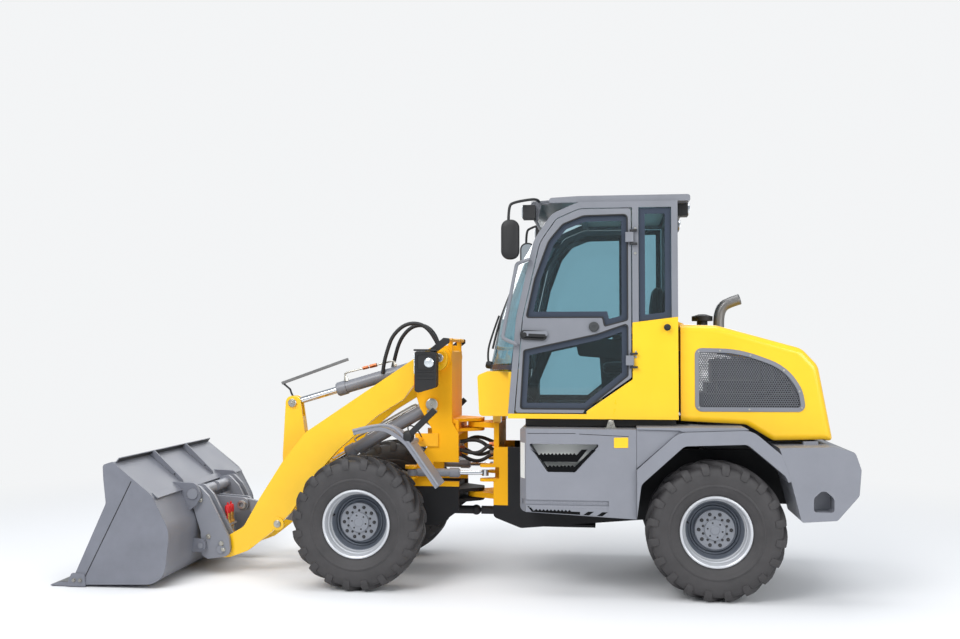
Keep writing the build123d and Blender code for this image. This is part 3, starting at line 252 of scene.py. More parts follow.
NODE_MATERIALS = {
    YELLOW: "cab_base hood arms lever",
    TOWER_SHADED_PAINT: "front_frame",
    HITCH_SHADED_PAINT: "rear_frame",
    GREY: "counterweight rear_fenders side_boxes coupler link",
    FENDER_SHADED_PAINT: "front_fenders",
    BUCKET_GREY: "bucket",
    FRAME_GREY: "cab_frame cab_roof door_left door_right handrails lift_barrels tilt_barrel "
                "steer_barrel_left steer_barrel_right",
    DARK: "rear_axle front_axle door_hinges",
    IRON: "engine_block rear_shaft front_shaft",
    BLACK: "cab_lamps head_lamps steering_column pre_cleaner",
    CHROME: "lift_rods tilt_rod steer_rod_left steer_rod_right",
    PANE: "windscreen rear_window quarter_windows door_glass_left door_glass_right",
}
for material, names in NODE_MATERIALS.items():
    for node_name in names.split():
        mesh = nodes[node_name].data
        mesh.materials.clear()
        mesh.materials.append(material)

# Outlines: (x, z) places, or (x, z, radius) rows with rounded corners


def rounded(rows, steps=6):
    """Points of an outline of (x, z, radius) rows, with its corners turned into arcs."""
    points = []
    count = len(rows)
    for i, (x, z, radius) in enumerate(rows):
        here = Vector((x, z))
        if not radius:
            points.append(here)
            continue
        back = (Vector(rows[i - 1][:2]) - here).normalized()
        ahead = (Vector(rows[(i + 1) % count][:2]) - here).normalized()
        half = math.acos(max(-1, min(1, back.dot(ahead)))) / 2
        reach = radius / math.tan(half)
        centre = here + (back + ahead).normalized() * radius / math.sin(half)
        start = here + back * reach - centre
        end = here + ahead * reach - centre
        turn = math.atan2(start.x * end.y - start.y * end.x, start.dot(end))
        for k in range(steps + 1):
            points.append(centre + Matrix.Rotation(turn * k / steps, 2) @ start)
    return points


def flat(outline):
    """Points of an outline of either kind."""
    return rounded(outline) if len(outline[0]) == 3 else outline


def inset(points, distance):
    """The outline moved inwards, with as many points."""
    area = sum(a.x * b.y - b.x * a.y for a, b in zip(points, points[1:] + points[:1]))
    sign = 1 if area > 0 else -1
    moved = []
    for i, point in enumerate(points):
        before = (point - points[i - 1]).normalized()
        after = (points[(i + 1) % len(points)] - point).normalized()
        normal = Vector((-before.y - after.y, before.x + after.x))
        if normal.length < 1e-6:
            normal = Vector((-after.y, after.x))
        normal.normalize()
        lean = max(0.4, normal.dot(Vector((-after.y, after.x))))
        moved.append(point + normal * sign * distance / lean)
    return moved


def shrunk(rows, distance):
    """The rows of an outline moved inwards at their sharp corners, with radii kept or made smaller."""
    moved = inset([Vector(row[:2]) for row in rows], distance)
    return [(p.x, p.y, max(0.004, r - distance) if r else 0) for p, (_, _, r) in zip(moved, rows)]


def box_rows(x0, x1, z0, z1, radius):
    """Rows of an oblong with rounded corners."""
    return [(x0, z0, radius), (x1, z0, radius), (x1, z1, radius), (x0, z1, radius)]


# Pieces


class Shape:
    """A mesh in the making, of closed forms.

    Places and directions are (x, y, z) rows on the machine, with Y counted outwards on the shape's side, or
    Vectors, which are taken as they are.
    """

    def __init__(self, side=None):
        self.bm = bmesh.new()
        self.side = side
        self.sign = SIDES[side] if side else 1

    def spot(self, place):
        """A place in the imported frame."""
        if isinstance(place, Vector):
            return place
        x, y, z = place
        return at(x, self.sign * y, z)

    def skin(self, loops):
        """Closed form through loops of places, each with as many."""
        rows = [[self.bm.verts.new(self.spot(place)) for place in loop] for loop in loops]
        self.bm.faces.new(rows[0])
        self.bm.faces.new(rows[-1])
        for low, high in zip(rows, rows[1:]):
            for k in range(len(low)):
                self.bm.faces.new((low[k - 1], low[k], high[k], high[k - 1]))

    def prism(self, outline, y0, y1):
        """Plate of an outline in X and Z, from y0 to y1."""
        points = flat(outline)
        self.skin([[(p[0], y, p[1]) for p in points] for y in (y0, y1)])

    def tile(self, outline, z0, z1):
        """Plate of an outline in X and Y, from z0 to z1."""
        points = flat(outline)
        self.skin([[(p[0], p[1], z) for p in points] for z in (z0, z1)])

    def block(self, x0, x1, y0, y1, z0, z1):
        """Box between two corners."""
        self.prism([(x0, z0), (x1, z0), (x1, z1), (x0, z1)], y0, y1)

    def ring(self, outer, inner, y0, y1):
        """Flat ring between two outlines with as many points, from y0 to y1."""
        loops = []
        for outline, y in ((outer, y0), (outer, y1), (inner, y1), (inner, y0)):
            loops.append([self.bm.verts.new(self.spot((p[0], y, p[1]))) for p in flat(outline)])
        for i in range(len(loops[0])):
            for a, b in zip(loops, loops[1:] + loops[:1]):
                self.bm.faces.new((a[i - 1], a[i], b[i], b[i - 1]))

    def turned(self, profile, place, direction=(0, 1, 0), steps=32):
        """Turned form of (radius, height) rows about a direction, closed where a radius is 0."""
        if not isinstance(direction, Vector):
            x, y, z = direction
            direction = Vector((x, self.sign * y, z))
        turn = direction.to_track_quat("Z", "Y").to_matrix().to_4x4()
        matrix = Matrix.Translation(self.spot(place)) @ turn
        angles = [2 * math.pi * k / steps for k in range(steps)]
        loops = []
        for radius, height in profile:
            if radius < 1e-6:
                loops.append([self.bm.verts.new(matrix @ Vector((0, 0, height)))] * steps)
                continue
            points = [Vector((radius * math.cos(a), radius * math.sin(a), height)) for a in angles]
            loops.append([self.bm.verts.new(matrix @ point) for point in points])
        for a, b in zip(loops, loops[1:]):
            for k in range(steps):
                corner = []
                for vert in (a[k - 1], a[k], b[k], b[k - 1]):
                    if vert not in corner:
                        corner.append(vert)
                if len(corner) > 2:
                    self.bm.faces.new(corner)

    def drum(self, radius, height, place, direction=(0, 1, 0), steps=32):
        """Plain round or six-sided body."""
        self.turned([(0, 0), (radius, 0), (radius, height), (0, height)], place, direction, steps)

    def pin(self, start, end, radius, steps=20, chamfer=0.15):
        """Round bar between two places, with chamfered ends."""
        run = self.spot(end) - self.spot(start)
        length = run.length
        cut = min(radius * chamfer, length * 0.3)
        rows = [(0, 0), (radius - cut, 0), (radius, cut), (radius, length - cut), (radius - cut, length),
                (0, length)]
        self.turned(rows, start, run, steps)

    def bolt(self, place, size):
        """Hexagon bolt head on its washer, pointing outwards."""
        lift = size * 0.18
        top = lift + size * 0.68
        self.drum(size * 1.02, lift, place, steps=18)
        wide = size * 0.86
        rows = [(0, lift), (wide, lift), (wide, lift + size * 0.55), (size * 0.7, top), (0, top)]
        self.turned(rows, place, steps=6)

    def pin_end(self, hub, y, radius):
        """Pin end with its washer and a grease nipple, at an (x, z) hub."""
        rows = [(0, 0), (1, 0), (1, 0.006), (0.86, 0.009), (0.62, 0.009), (0.6, 0.014), (0.2, 0.014),
                (0.2, 0.018), (0.12, 0.026), (0, 0.028)]
        self.turned([(radius * share, height) for share, height in rows], (hub[0], y, hub[1]), steps=36)

    def done(self, name, material, body, slot, bevel=0.0, angle=32):
        """Finish the shape as a piece that rides on a body, and start the next one.

        A shape with a side adds it to the piece's name.
        """
        if self.side:
            name = f"{name}_{self.side}"
        bmesh.ops.remove_doubles(self.bm, verts=self.bm.verts, dist=1e-6)
        bmesh.ops.recalc_face_normals(self.bm, faces=self.bm.faces)
        mesh = bpy.data.meshes.new(name)
        self.bm.to_mesh(mesh)
        self.bm.free()
        self.bm = bmesh.new()
        mesh.polygons.foreach_set("use_smooth", [True] * len(mesh.polygons))
        mesh.set_sharp_from_angle(angle=math.radians(angle))
        mesh.materials.append(material)
        obj = add_object(name, mesh)
        if bevel:
            modifier = obj.modifiers.new("edge", "BEVEL")
            modifier.width = bevel
            modifier.segments = 2
            modifier.limit_method = "ANGLE"
            modifier.angle_limit = math.radians(40)
            modifier.harden_normals = True
        if body:
            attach(obj, body)
        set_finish(obj, slot)
        return obj


whole = Shape()


def line(name, places, radius, material, body, slot, knots=3):
    """Pipe or hose along a smooth line through the neighbourhood of its places."""
    curve = bpy.data.curves.new(name, "CURVE")
    curve.dimensions = "3D"
    spline = curve.splines.new("NURBS")
    spline.points.add(len(places) - 1)
    for point, place in zip(spline.points, places):
        point.co = (*place, 1)
    spline.order_u = knots
    spline.use_endpoint_u = True
    spline.resolution_u = 10
    curve.bevel_depth = radius
    curve.bevel_resolution = 4
    curve.use_fill_caps = True
    curve.materials.append(material)
    obj = add_object(name, curve)
    if body:
        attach(obj, body)
    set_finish(obj, slot)
    return obj


def as_mesh(obj, name):
    """A curve piece turned into a mesh piece without a body."""
    graph = bpy.context.evaluated_depsgraph_get()
    mesh = bpy.data.meshes.new_from_object(obj.evaluated_get(graph))
    mesh.name = name
    slot = obj["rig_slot"]
    bpy.data.objects.remove(obj)
    made = add_object(name, mesh)
    mesh.polygons.foreach_set("use_smooth", [True] * len(mesh.polygons))
    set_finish(made, slot)
    return made


def hose(name, places, radius):
    """Hose along a smooth line through the neighbourhood of its places, as a mesh piece without a body."""
    curve = line(name, places, 0.0, RUBBER, None, "black_plastic")
    middle = bpy.data.meshes.new_from_object(curve.evaluated_get(bpy.context.evaluated_depsgraph_get()))
    curve.data.bevel_depth = radius
    made = as_mesh(curve, name)
    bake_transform(made)


def thicken(obj, thickness):
    """Give a sheet its thickness."""
    modifier = obj.modifiers.new("sheet", "SOLIDIFY")
    modifier.thickness = thickness
    modifier.offset = 0
    return obj


# Wheels, about the origin along Y

CARCASS = [(0.238, 0.1), (0.25, 0.113), (0.262, 0.12), (0.268, 0.127), (0.276, 0.129), (0.282, 0.134),
           (0.3, 0.142), (0.316, 0.147), (0.32, 0.151), (0.33, 0.1515), (0.334, 0.149), (0.35, 0.152),
           (0.372, 0.1535), (0.395, 0.152), (0.418, 0.147), (0.435, 0.139), (0.447, 0.128), (0.454, 0.112),
           (0.458, 0.08), (TREAD_RADIUS, 0.04)]
# Rows of a lug: its place across, its top and foot radius, and its half width
LUG = [(-0.008, 0.485, 0.45, 0.021), (0.03, 0.485, 0.45, 0.02), (0.07, 0.4845, 0.45, 0.021),
       (0.105, 0.482, 0.446, 0.023), (0.13, 0.475, 0.43, 0.026), (0.1475, 0.455, 0.41, 0.028),
       (0.1545, 0.428, 0.402, 0.028), (0.1545, 0.402, 0.396, 0.024)]
RIM = [(0.0, 0.036), (0.03, 0.036), (0.034, 0.032), (0.07, 0.032), (0.073, 0.029), (0.073, 0.018),
       (0.136, 0.014), (0.14, 0.01), (0.14, -0.036), (0.15, -0.042), (0.176, -0.04), (0.186, -0.03),
       (0.196, 0.005), (0.205, 0.02), (0.212, 0.03), (0.214, 0.06), (0.222, 0.07), (0.2235, 0.095),
       (0.229, 0.106), (0.232, 0.119), (0.24, 0.1243), (0.248, 0.122), (0.251, 0.116), (0.248, 0.1123),
       (0.2357, 0.112), (0.2357, -0.112), (0.248, -0.1123), (0.251, -0.116), (0.248, -0.122),
       (0.232, -0.1243), (0.2237, -0.11), (0.2237, -0.06), (0.0553, -0.055), (0.0553, -0.02), (0.0, -0.02)]
HUB = [(0.0, 0.0365), (0.03, 0.0365), (0.034, 0.0325), (0.07, 0.0325), (0.0735, 0.0295), (0.0735, 0.0185),
       (0.136, 0.0145), (0.1405, 0.0105), (0.1405, -0.034), (0.0, -0.019)]
DISH = [(0.1405, -0.034), (0.1505, -0.0405), (0.1755, -0.0385), (0.1855, -0.029), (0.1952, 0.006),
        (0.2042, 0.021), (0.2042, 0.019), (0.196, 0.003), (0.186, -0.032), (0.15, -0.044), (0.1405, -0.038),
        (0.1405, -0.034)]
# Rings of nuts: count, radius, place across, size and first angle
NUTS = ((10, 0.112, 0.0155, 0.0125, 0.0), (10, 0.086, 0.017, 0.0085, 0.31), (6, 0.052, 0.032, 0.006, 0.2))


def tyre(form):
    """A smooth carcass with two rows of slanted lugs that wrap its shoulders."""
    profile = CARCASS + [(TREAD_RADIUS + 0.0005, 0.0)] + [(r, -y) for r, y in CARCASS[::-1]]
    form.turned(profile + profile[:1], Vector(), steps=WHEEL_STEPS)
    for k in range(LUGS):
        for sign in (1, -1):
            turn = 2 * math.pi * (k + (0.5 if sign < 0 else 0)) / LUGS
            sections = []
            for i, (y, top, foot, wide) in enumerate(LUG):
                share = min(1.0, (y + 0.008) / 0.14)
                centre = turn + (0.5 - share) * LUG_LEAN / TYRE_RADIUS
                section = []
                for offset, radius in ((-wide - 0.008, foot), (-wide, top - 0.004), (-wide + 0.004, top),
                                       (wide - 0.004, top), (wide, top - 0.004), (wide + 0.008, foot)):
                    a = centre + offset / TYRE_RADIUS
                    inner = 0.0 if i < 5 or radius > foot else 0.016
                    section.append(Vector((radius * math.sin(a), sign * (y - inner), radius * math.cos(a))))
                sections.append(section)
            form.skin(sections)


def rim(form):
    """Dished rim, open towards +Y."""
    form.turned(RIM, Vector(), steps=WHEEL_STEPS)


def fittings(form):
    """Two rings of nuts, a hub cap screw ring and a valve."""
    for count, radius, y, size, start in NUTS:
        for k in range(count):
            a = start + 2 * math.pi * k / count
            form.bolt(Vector((radius * math.cos(a), y, radius * math.sin(a))), size)
    form.pin(Vector((0.19, 0.0, 0.05)), Vector((0.185, 0.055, 0.05)), 0.006, 12)


# Parts of a wheel: what builds it, its material and slot, and the angle of its sharp edges
WHEEL_PARTS = {
    "tyre": (tyre, TYRE, "tyre", 40),
    "rim": (rim, SILVER, "rim_paint", 30),
    "nuts": (fittings, IRON, "rim_paint", 30),
}
wheel_meshes = {}
for part, (build, material, slot, angle) in WHEEL_PARTS.items():
    for side, sign in SIDES.items():
        build(whole)
        if sign < 0:
            bmesh.ops.scale(whole.bm, vec=(1, -1, 1), verts=whole.bm.verts)
        pattern = whole.done(f"{part}_{side}_pattern", material, None, slot, angle=angle)
        wheel_meshes[part, side] = pattern.data
        bpy.data.objects.remove(pattern)
for end, x in AXLE_X.items():
    for side, sign in SIDES.items():
        body = f"wheel_{end}_{side}"
        for part, (_, _, slot, _) in WHEEL_PARTS.items():
            obj = add_object(f"wheel_{part}_{end}_{side}", wheel_meshes[part, side])
            obj.location = at(x, sign * WHEEL_Y, AXLE_Z)
            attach(obj, body)
            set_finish(obj, slot)
            if part != "nuts":
                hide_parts(f"{part}_{end}_{side}")
        for name, rows, material in (("hub_face", HUB, HUB_GREY), ("rim_dish", DISH, DISH_GREY)):
            form = Shape(side)
            form.turned(rows, (x, WHEEL_Y, AXLE_Z), steps=64)
            form.done(f"{name}_{end}", material, body, "grey_paint")

# Cab: glass borders, seals, door furniture and wiper

GLASS_REAR_X = -0.681
UPPER_WINDOW = [(0.05, 1.982, 0.02), (-0.012, 2.26, 0), (-0.114, 2.537, 0.2), (-0.216, 2.658, 0.09),
                (-0.365, 2.717, 0.12), (GLASS_REAR_X, 2.722, 0.03), (GLASS_REAR_X, 1.962, 0.02),
                (-0.515, 1.918, 0.01), (-0.5, 1.982, 0.01)]
LOWER_WINDOW = [(0.092, 1.324, 0.02), (0.066, 1.748, 0.02), (-0.455, 1.862, 0.02), (GLASS_REAR_X, 1.94, 0.02),
                (GLASS_REAR_X, 1.565, 0.02), (-0.383, 1.324, 0.02)]
QUARTER_WINDOW = [(-0.986, 1.982, 0.006), (-0.762, 1.953, 0.006), (-0.762, 2.766, 0.006),
                  (-0.986, 2.766, 0.006)]
HANDLE = rounded([(0.085, 1.825, 0.03), (0.095, 1.895, 0.03), (-0.105, 1.885, 0.03), (-0.1, 1.815, 0.03)])
GRIP = [(0.03, 1.845, 0.008), (0.03, 1.868, 0.008), (-0.095, 1.862, 0.008), (-0.095, 1.84, 0.008)]
LOCK = [(0, 0), (0.036, 0), (0.036, 0.012), (0.03, 0.016), (0.012, 0.016), (0.01, 0.013), (0, 0.013)]
DOOR_STOP = [(0, 0), (0.024, 0.004), (0.024, 0.016), (0.014, 0.024), (0, 0.024)]
for side in SIDES:
    door = f"door_{side}"
    border = Shape(side)
    seals = Shape(side)
    for rows in (UPPER_WINDOW, LOWER_WINDOW):
        border.ring(shrunk(rows, 0.001), shrunk(rows, 0.044), 0.6685, 0.6715)
        seals.ring(shrunk(rows, -0.003), shrunk(rows, 0.007), 0.672, 0.6925)
    border.done("door_glass_border", FRIT, door, "black_plastic")
    seals.done("door_seals", RUBBER, door, "black_plastic", bevel=0.002)
    form = Shape(side)
    form.ring(HANDLE, inset(HANDLE, 0.014), CAB_Y, 0.708)
    form.prism(inset(HANDLE, 0.013), CAB_Y, 0.693)
    form.pin((0.06, 0.7, 1.858), (0.06, 0.715, 1.858), 0.02)
    form.prism(GRIP, 0.695, 0.713)
    form.done("door_handle", BLACK, door, "black_plastic", bevel=0.003)
    form.turned(LOCK, (-0.44, CAB_Y, 1.915))
    form.done("door_lock", TRIM, door, "black_plastic")
    form.ring(QUARTER_WINDOW, shrunk(QUARTER_WINDOW, 0.042), 0.6685, 0.671)
    form.done("quarter_border", FRIT, "rear", "black_plastic")
    form.pin((-0.957, CAB_Y, 1.91), (-0.957, 0.715, 1.91), 0.018)
    form.turned(DOOR_STOP, (-0.957, 0.705, 1.91), steps=24)
    form.done("door_stop", BLACK, "rear", "black_plastic")
    for z in (1.70, 2.44):
        form.bolt((-0.735, 0.6905, z), 0.009)
    for z in (1.62, 1.73, 2.5, 2.61):
        form.bolt((-0.736, 0.712, z + 0.007), 0.007)
    form.done("hinge_screws", ZINC, "rear", "dark_paint")

# Rows of the windscreen's front face: its height, and its X at the sides and in the middle
SCREEN = [(1.602, 0.128, 0.383), (1.982, 0.085, 0.3), (2.4, -0.01, 0.15), (2.668, -0.143, -0.013)]
SCREEN_HALF = 0.6447


def on_screen(y, z, lift):
    """A place in front of the windscreen's front face."""
    for (z0, side0, mid0), (z1, side1, mid1) in zip(SCREEN, SCREEN[1:]):
        if z <= z1 or z1 == SCREEN[-1][0]:
            share = (z - z0) / (z1 - z0)
            side_x = side0 + (side1 - side0) * share
            depth = mid0 + (mid1 - mid0) * share - side_x
            radius = (depth ** 2 + SCREEN_HALF ** 2) / (2 * depth)
            return at(side_x + depth - radius + math.sqrt(radius ** 2 - y ** 2) + lift, y, z)


def screen_strip(form, pairs):
    """Thin strip on the windscreen through pairs of (y, z) places."""
    loops = []
    for a, b in pairs:
        loops.append([on_screen(*a, 0.001), on_screen(*b, 0.001), on_screen(*b, 0.004), on_screen(*a, 0.004)])
    form.skin(loops)


levels = [1.602 + (2.668 - 1.602) * k / 24 for k in range(25)]
across = [-0.62 + 1.24 * k / 32 for k in range(33)]
for sign in (1, -1):
    screen_strip(whole, [((sign * 0.6, z), (sign * 0.64, z)) for z in levels])
for z0, z1 in ((1.603, 1.64), (2.62, 2.667)):
    screen_strip(whole, [((y, z0), (y, z1)) for y in across])
whole.done("windscreen_border", FRIT, "rear", "black_plastic")

WIPER_ARM = ((0.12, 1.64, 0.02), (0.11, 1.72, 0.05), (0.07, 1.86, 0.045), (0.02, 2.02, 0.03))
WIPER_BLADE = ((0.09, 1.76, 0.014), (0.04, 1.94, 0.014), (-0.02, 2.1, 0.014), (-0.08, 2.28, 0.014))
line("wiper_arm", [on_screen(*row) for row in WIPER_ARM], 0.008, BLACK, "rear", "black_plastic")
line("wiper_blade", [on_screen(*row) for row in WIPER_BLADE], 0.009, RUBBER, "rear", "black_plastic")
WIPER_MOTOR = [(0, 0), (0.03, 0), (0.03, 0.03), (0.02, 0.04), (0, 0.04)]
whole.turned(WIPER_MOTOR, on_screen(0.12, 1.63, 0.0), (1, 0, 0.2), 24)
whole.done("wiper_motor", BLACK, "rear", "black_plastic")

# Hood: perforated side screens in bolted frames, a louvred tail, and what shows behind them


def within(points, x, z):
    """Whether a place lies inside an outline."""
    hit = False
    for a, b in zip(points, points[1:] + points[:1]):
        if (a[1] > z) != (b[1] > z) and x < a[0] + (b[0] - a[0]) * (z - a[1]) / (b[1] - a[1]):
            hit = not hit
    return hit


def perforated(form, outline, y, pitch, hole):
    """Sheet of six-sided cells with six-sided holes, as far as an outline reaches."""
    points = flat(outline)
    corner = pitch / math.sqrt(3)
    shared = {}

    def vert(x, z):
        key = (round(x * 1e5), round(z * 1e5))
        if key not in shared:
            shared[key] = form.bm.verts.new(form.spot((x, y, z)))
        return shared[key]

    turns = [(math.sin(math.pi * k / 3), math.cos(math.pi * k / 3)) for k in range(6)]
    low_x = min(p[0] for p in points)
    low_z = min(p[1] for p in points)
    across_count = int((max(p[0] for p in points) - low_x) / pitch) + 2
    up_count = int((max(p[1] for p in points) - low_z) / (1.5 * corner)) + 2
    for j in range(up_count):
        for i in range(across_count):
            x = low_x + (i + 0.5 * (j % 2)) * pitch
            z = low_z + j * 1.5 * corner
            if not within(points, x, z):
                continue
            outer = [vert(x + corner * u, z + corner * v) for u, v in turns]
            inner = [form.bm.verts.new(form.spot((x + hole * u, y, z + hole * v))) for u, v in turns]
            for k in range(6):
                form.bm.faces.new((outer[k - 1], outer[k], inner[k], inner[k - 1]))


SIDE_VENT = [(-1.172, 1.745, 0.03), (-1.465, 1.738, 0.06), (-1.78, 1.62, 0.08), (-1.88, 1.46, 0.06),
             (-1.898, 1.332, 0.03), (-1.172, 1.33, 0.03)]
VENT_RADII = (0.03, 0.8, 0.35, 0.25, 0.03, 0.03)
VENT_CURVE = [(x, z, radius) for (x, z, _), radius in zip(SIDE_VENT, VENT_RADII)]
VENT_BOLTS = ((-1.181, 1.737), (-1.33, 1.744), (-1.54, 1.711), (-1.77, 1.606), (-1.875, 1.458),
              (-1.889, 1.341), (-1.53, 1.328), (-1.181, 1.339))
screens = Shape()
frames = Shape()
bolts = Shape()
for sign in SIDES.values():
    screens.sign = frames.sign = bolts.sign = sign
    perforated(screens, shrunk(SIDE_VENT, 0.006), 0.613, 0.0165, 0.0066)
    frames.ring(shrunk(VENT_CURVE, -0.019), shrunk(VENT_CURVE, 0.011), 0.6205, 0.6255)
    frames.ring(shrunk(VENT_CURVE, 0.003), shrunk(VENT_CURVE, 0.012), 0.608, 0.6205)
    for x, z in VENT_BOLTS:
        bolts.bolt((x, 0.6255, z), 0.007)
sheets = thicken(screens.done("hood_screens", MESH_GREY, "hood", "grey_paint"), 0.0016)
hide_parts("hood_grilles")
frames.done("hood_screen_frames", FRAME_GREY, "hood", "grey_paint", bevel=0.0015)
bolts.done("hood_screen_bolts", ZINC, "hood", "grey_paint")


def tail_x(z):
    """X of the hood's tail face at a height."""
    return -2.01 - (1.64 - z) * 0.18


LOUVRES = 13
SLAT = ((0.004, -0.006), (0.006, -0.0085), (0.034, 0.013), (0.032, 0.0155))
GRILLE_LOW = 1.1805
GRILLE_HIGH = 1.5595
GRILLE_BARS = ((GRILLE_LOW, GRILLE_HIGH, -0.4295, -0.408), (GRILLE_LOW, GRILLE_HIGH, -0.011, 0.011),
               (GRILLE_LOW, GRILLE_HIGH, 0.408, 0.4295), (GRILLE_LOW, 1.196, -0.41, 0.41),
               (1.545, GRILLE_HIGH, -0.41, 0.41))
for k in range(LOUVRES):
    z = 1.2 + k * 0.0275
    x = tail_x(z)
    whole.prism([(x + along, z + up) for along, up in SLAT], -0.424, 0.424)
for z0, z1, y0, y1 in GRILLE_BARS:
    x0 = tail_x(z0)
    x1 = tail_x(z1)
    whole.prism([(x0 + 0.003, z0), (x0 + 0.038, z0), (x1 + 0.038, z1), (x1 + 0.003, z1)], y0, y1)
whole.done("hood_tail_louvres", MESH_GREY, "hood", "grey_paint", bevel=0.001)
x0 = tail_x(1.145)
x1 = tail_x(1.165)
whole.prism([(x0 - 0.001, 1.125), (x0 - 0.02, 1.13), (x0 - 0.022, 1.155), (x1 - 0.001, 1.165)], -0.09, 0.09)
whole.done("hood_handle", BLACK, "hood", "black_plastic", bevel=0.004)

for k in range(46):
    y = -0.4 + k * 0.8 / 45
    whole.block(-1.965, -1.94, y - 0.0016, y + 0.0016, 1.17, 1.58)
for z in (1.16, 1.375, 1.58):
    whole.block(-1.97, -1.935, -0.42, 0.42, z - 0.012, z + 0.012)
for y in (-0.42, 0.42):
    whole.block(-1.972, -1.933, y - 0.012, y + 0.012, 1.13, 1.6)
whole.block(-1.938, -1.93, -0.415, 0.415, 1.15, 1.585)
whole.done("radiator", DARK, "rear", "dark_paint")

CANISTER = [(0, 0), (0.075, 0), (0.083, 0.008), (0.083, 0.05), (0.078, 0.056), (0.078, 0.3), (0.084, 0.306),
            (0.084, 0.33), (0.07, 0.345), (0, 0.345)]
MUFFLER = [(0, 0), (0.06, 0), (0.066, 0.01), (0.066, 0.4), (0.06, 0.41), (0, 0.41)]
whole.turned(CANISTER, (-1.3, 0.3, 1.6), (-1, 0, 0), 40)
whole.turned(MUFFLER, (-1.35, -0.25, 1.6), (-1, 0, 0), 40)
for z in (1.515, 1.535):
    whole.drum(0.036, 0.09, (-1.72, 0.3, z), (0.2, 0, 1), 24)
whole.done("air_filter_and_muffler", TRIM, "rear", "dark_paint", bevel=0.002)
whole.block(-1.9, -1.28, -0.17, 0.17, 1.4202, 1.5)
whole.block(-1.84, -1.32, -0.12, 0.12, 1.5, 1.68)
for k in range(8):
    whole.block(-1.8 + k * 0.06, -1.785 + k * 0.06, -0.125, 0.125, 1.56, 1.69)
whole.block(-1.93, -1.905, -0.41, 0.41, 1.14, 1.6)
whole.block(-1.13, -1.1, -0.5, 0.5, 1.25, 1.74)
whole.pin((-1.35, 0.2, 1.47), (-1.85, 0.2, 1.47), 0.032, 24)
whole.done("engine_covers", DARK, "rear", "dark_paint", bevel=0.006)
COOLANT = ((-1.94, 0.3, 1.52), (-1.86, 0.31, 1.55), (-1.78, 0.33, 1.5), (-1.7, 0.29, 1.4), (-1.6, 0.26, 1.4))
line("coolant_hose", [at(*place) for place in COOLANT], 0.026, RUBBER, "rear", "black_plastic")

EXHAUST = ((-1.372, 1.84), (-1.372, 1.93), (-1.375, 2.01), (-1.395, 2.07), (-1.44, 2.107), (-1.53, 2.134))
COLLAR = [(0.043, 0), (0.058, 0), (0.058, 0.004), (0.05, 0.012), (0.043, 0.014), (0.043, 0)]
pipe = line("exhaust_pipe", [at(x, EXHAUST_Y, z) for x, z in EXHAUST], 0.039, ALUMINISED, None, "dark_paint")
pipe.data.use_fill_caps = False
pipe = thicken(as_mesh(pipe, "exhaust_pipe"), 0.004)
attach(pipe, "hood")
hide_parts("exhaust")
whole.drum(0.034, 0.006, (-1.475, EXHAUST_Y, 2.1175), (-0.9, 0, 0.27))
whole.done("exhaust_dark", BLACK, "hood", "dark_paint")
whole.turned(COLLAR, (-1.372, EXHAUST_Y, 1.906), (-0.27, 0, 1))
whole.done("exhaust_collar", DARK, "hood", "dark_paint")

# Decks between the boxes, the fenders and the hood, and a black block of painted shade under the cab

DECK_TOP = [(-0.737, 1.1925), (-0.737, 1.208), (-1.47, 1.213), (-1.5, 1.2), (-1.5, 1.1945), (-1.05, 1.1785),
            (-1.03, 1.188)]
for side in SIDES:
    form = Shape(side)
    form.prism([(-0.7355, 0.918), (-0.7355, 1.1915), (-1.035, 1.1865), (-1.0, 1.153)], 0.45, 0.7995)
    form.prism([(-0.99, 1.12), (-0.98, 1.187), (-1.07, 1.185), (-1.07, 1.12)], 0.45, 0.796)
    form.prism(DECK_TOP, 0.45, 0.815)
    form.done("fender_deck", GREY, "rear", "grey_paint", bevel=0.003)
# Painted shade: a black block fills the gap between the cab floor and the boxes, where shade falls.
whole.block(-1.02, 0.06, -0.6, 0.6, 1.196, 1.2535)
whole.done("cab_underside_shade", DARK, "rear", "dark_paint", bevel=0.004)

# Side boxes: two serrated steps in each recess, a lower tread, seams and bare plates, with painted shadow
# under the treads and painted light in the recesses

UPPER_STEP = [(0.01, 1.05), (-0.05, 1.006), (-0.318, 1.009), (-0.352, 1.047), (-0.392, 1.047),
              (-0.322, 0.962), (-0.079, 0.96)]
LOWER_STEP = [(-0.083, 0.956), (-0.112, 0.921), (-0.303, 0.924), (-0.424, 1.046), (-0.452, 1.046),
              (-0.304, 0.892), (-0.117, 0.89)]
LOWER_BARS = (((0.0, 0.606), (-0.34, 0.5916), (-0.34, 0.612), (-0.018, 0.616)),
              ((0.03, 0.645), (0.012, 0.645), (-0.018, 0.606), (0.0, 0.606)),
              ((-0.362, 0.5905), (-0.402, 0.5888), (-0.437, 0.6145), (-0.397, 0.6145)),
              ((-0.457, 0.5865), (-0.495, 0.5848), (-0.533, 0.6125), (-0.495, 0.6125)))
SLOT_END = ((0.029, 0.789), (0.0445, 0.789), (0.0672, 0.7485), (0.0672, 0.7), (0.029, 0.7))
SEAMS = (((0.03, 1.158), (-0.309, 1.161)), ((-0.335, 1.157), (-0.68, 1.143)))
SEAM_HALF = 0.0016
STUD = [(0, 0), (0.007, 0), (0.005, 0.0016), (0, 0.0018)]
LINER = [(0.012, 1.081, 0.01), (-0.47, 1.081, 0.01), (-0.304, 0.892, 0.018), (-0.114, 0.892, 0.018)]
BARE_PLATE = [(-0.677, 1.064, 0.006), (-0.578, 1.062, 0.006), (-0.578, 1.134, 0.006), (-0.677, 1.137, 0.006)]
MOUNT = [(-0.525, 1.195, 0.006), (-0.59, 1.195, 0.006), (-0.575, 1.25, 0.012), (-0.54, 1.25, 0.012)]
# The box's chamfered front corner in X and Y: where it starts, the way along it and the way out
CORNER = Vector((0.09, 0.71))
CORNER_ALONG = Vector((-0.486, 0.874))
CORNER_OUT = Vector((0.874, 0.486))


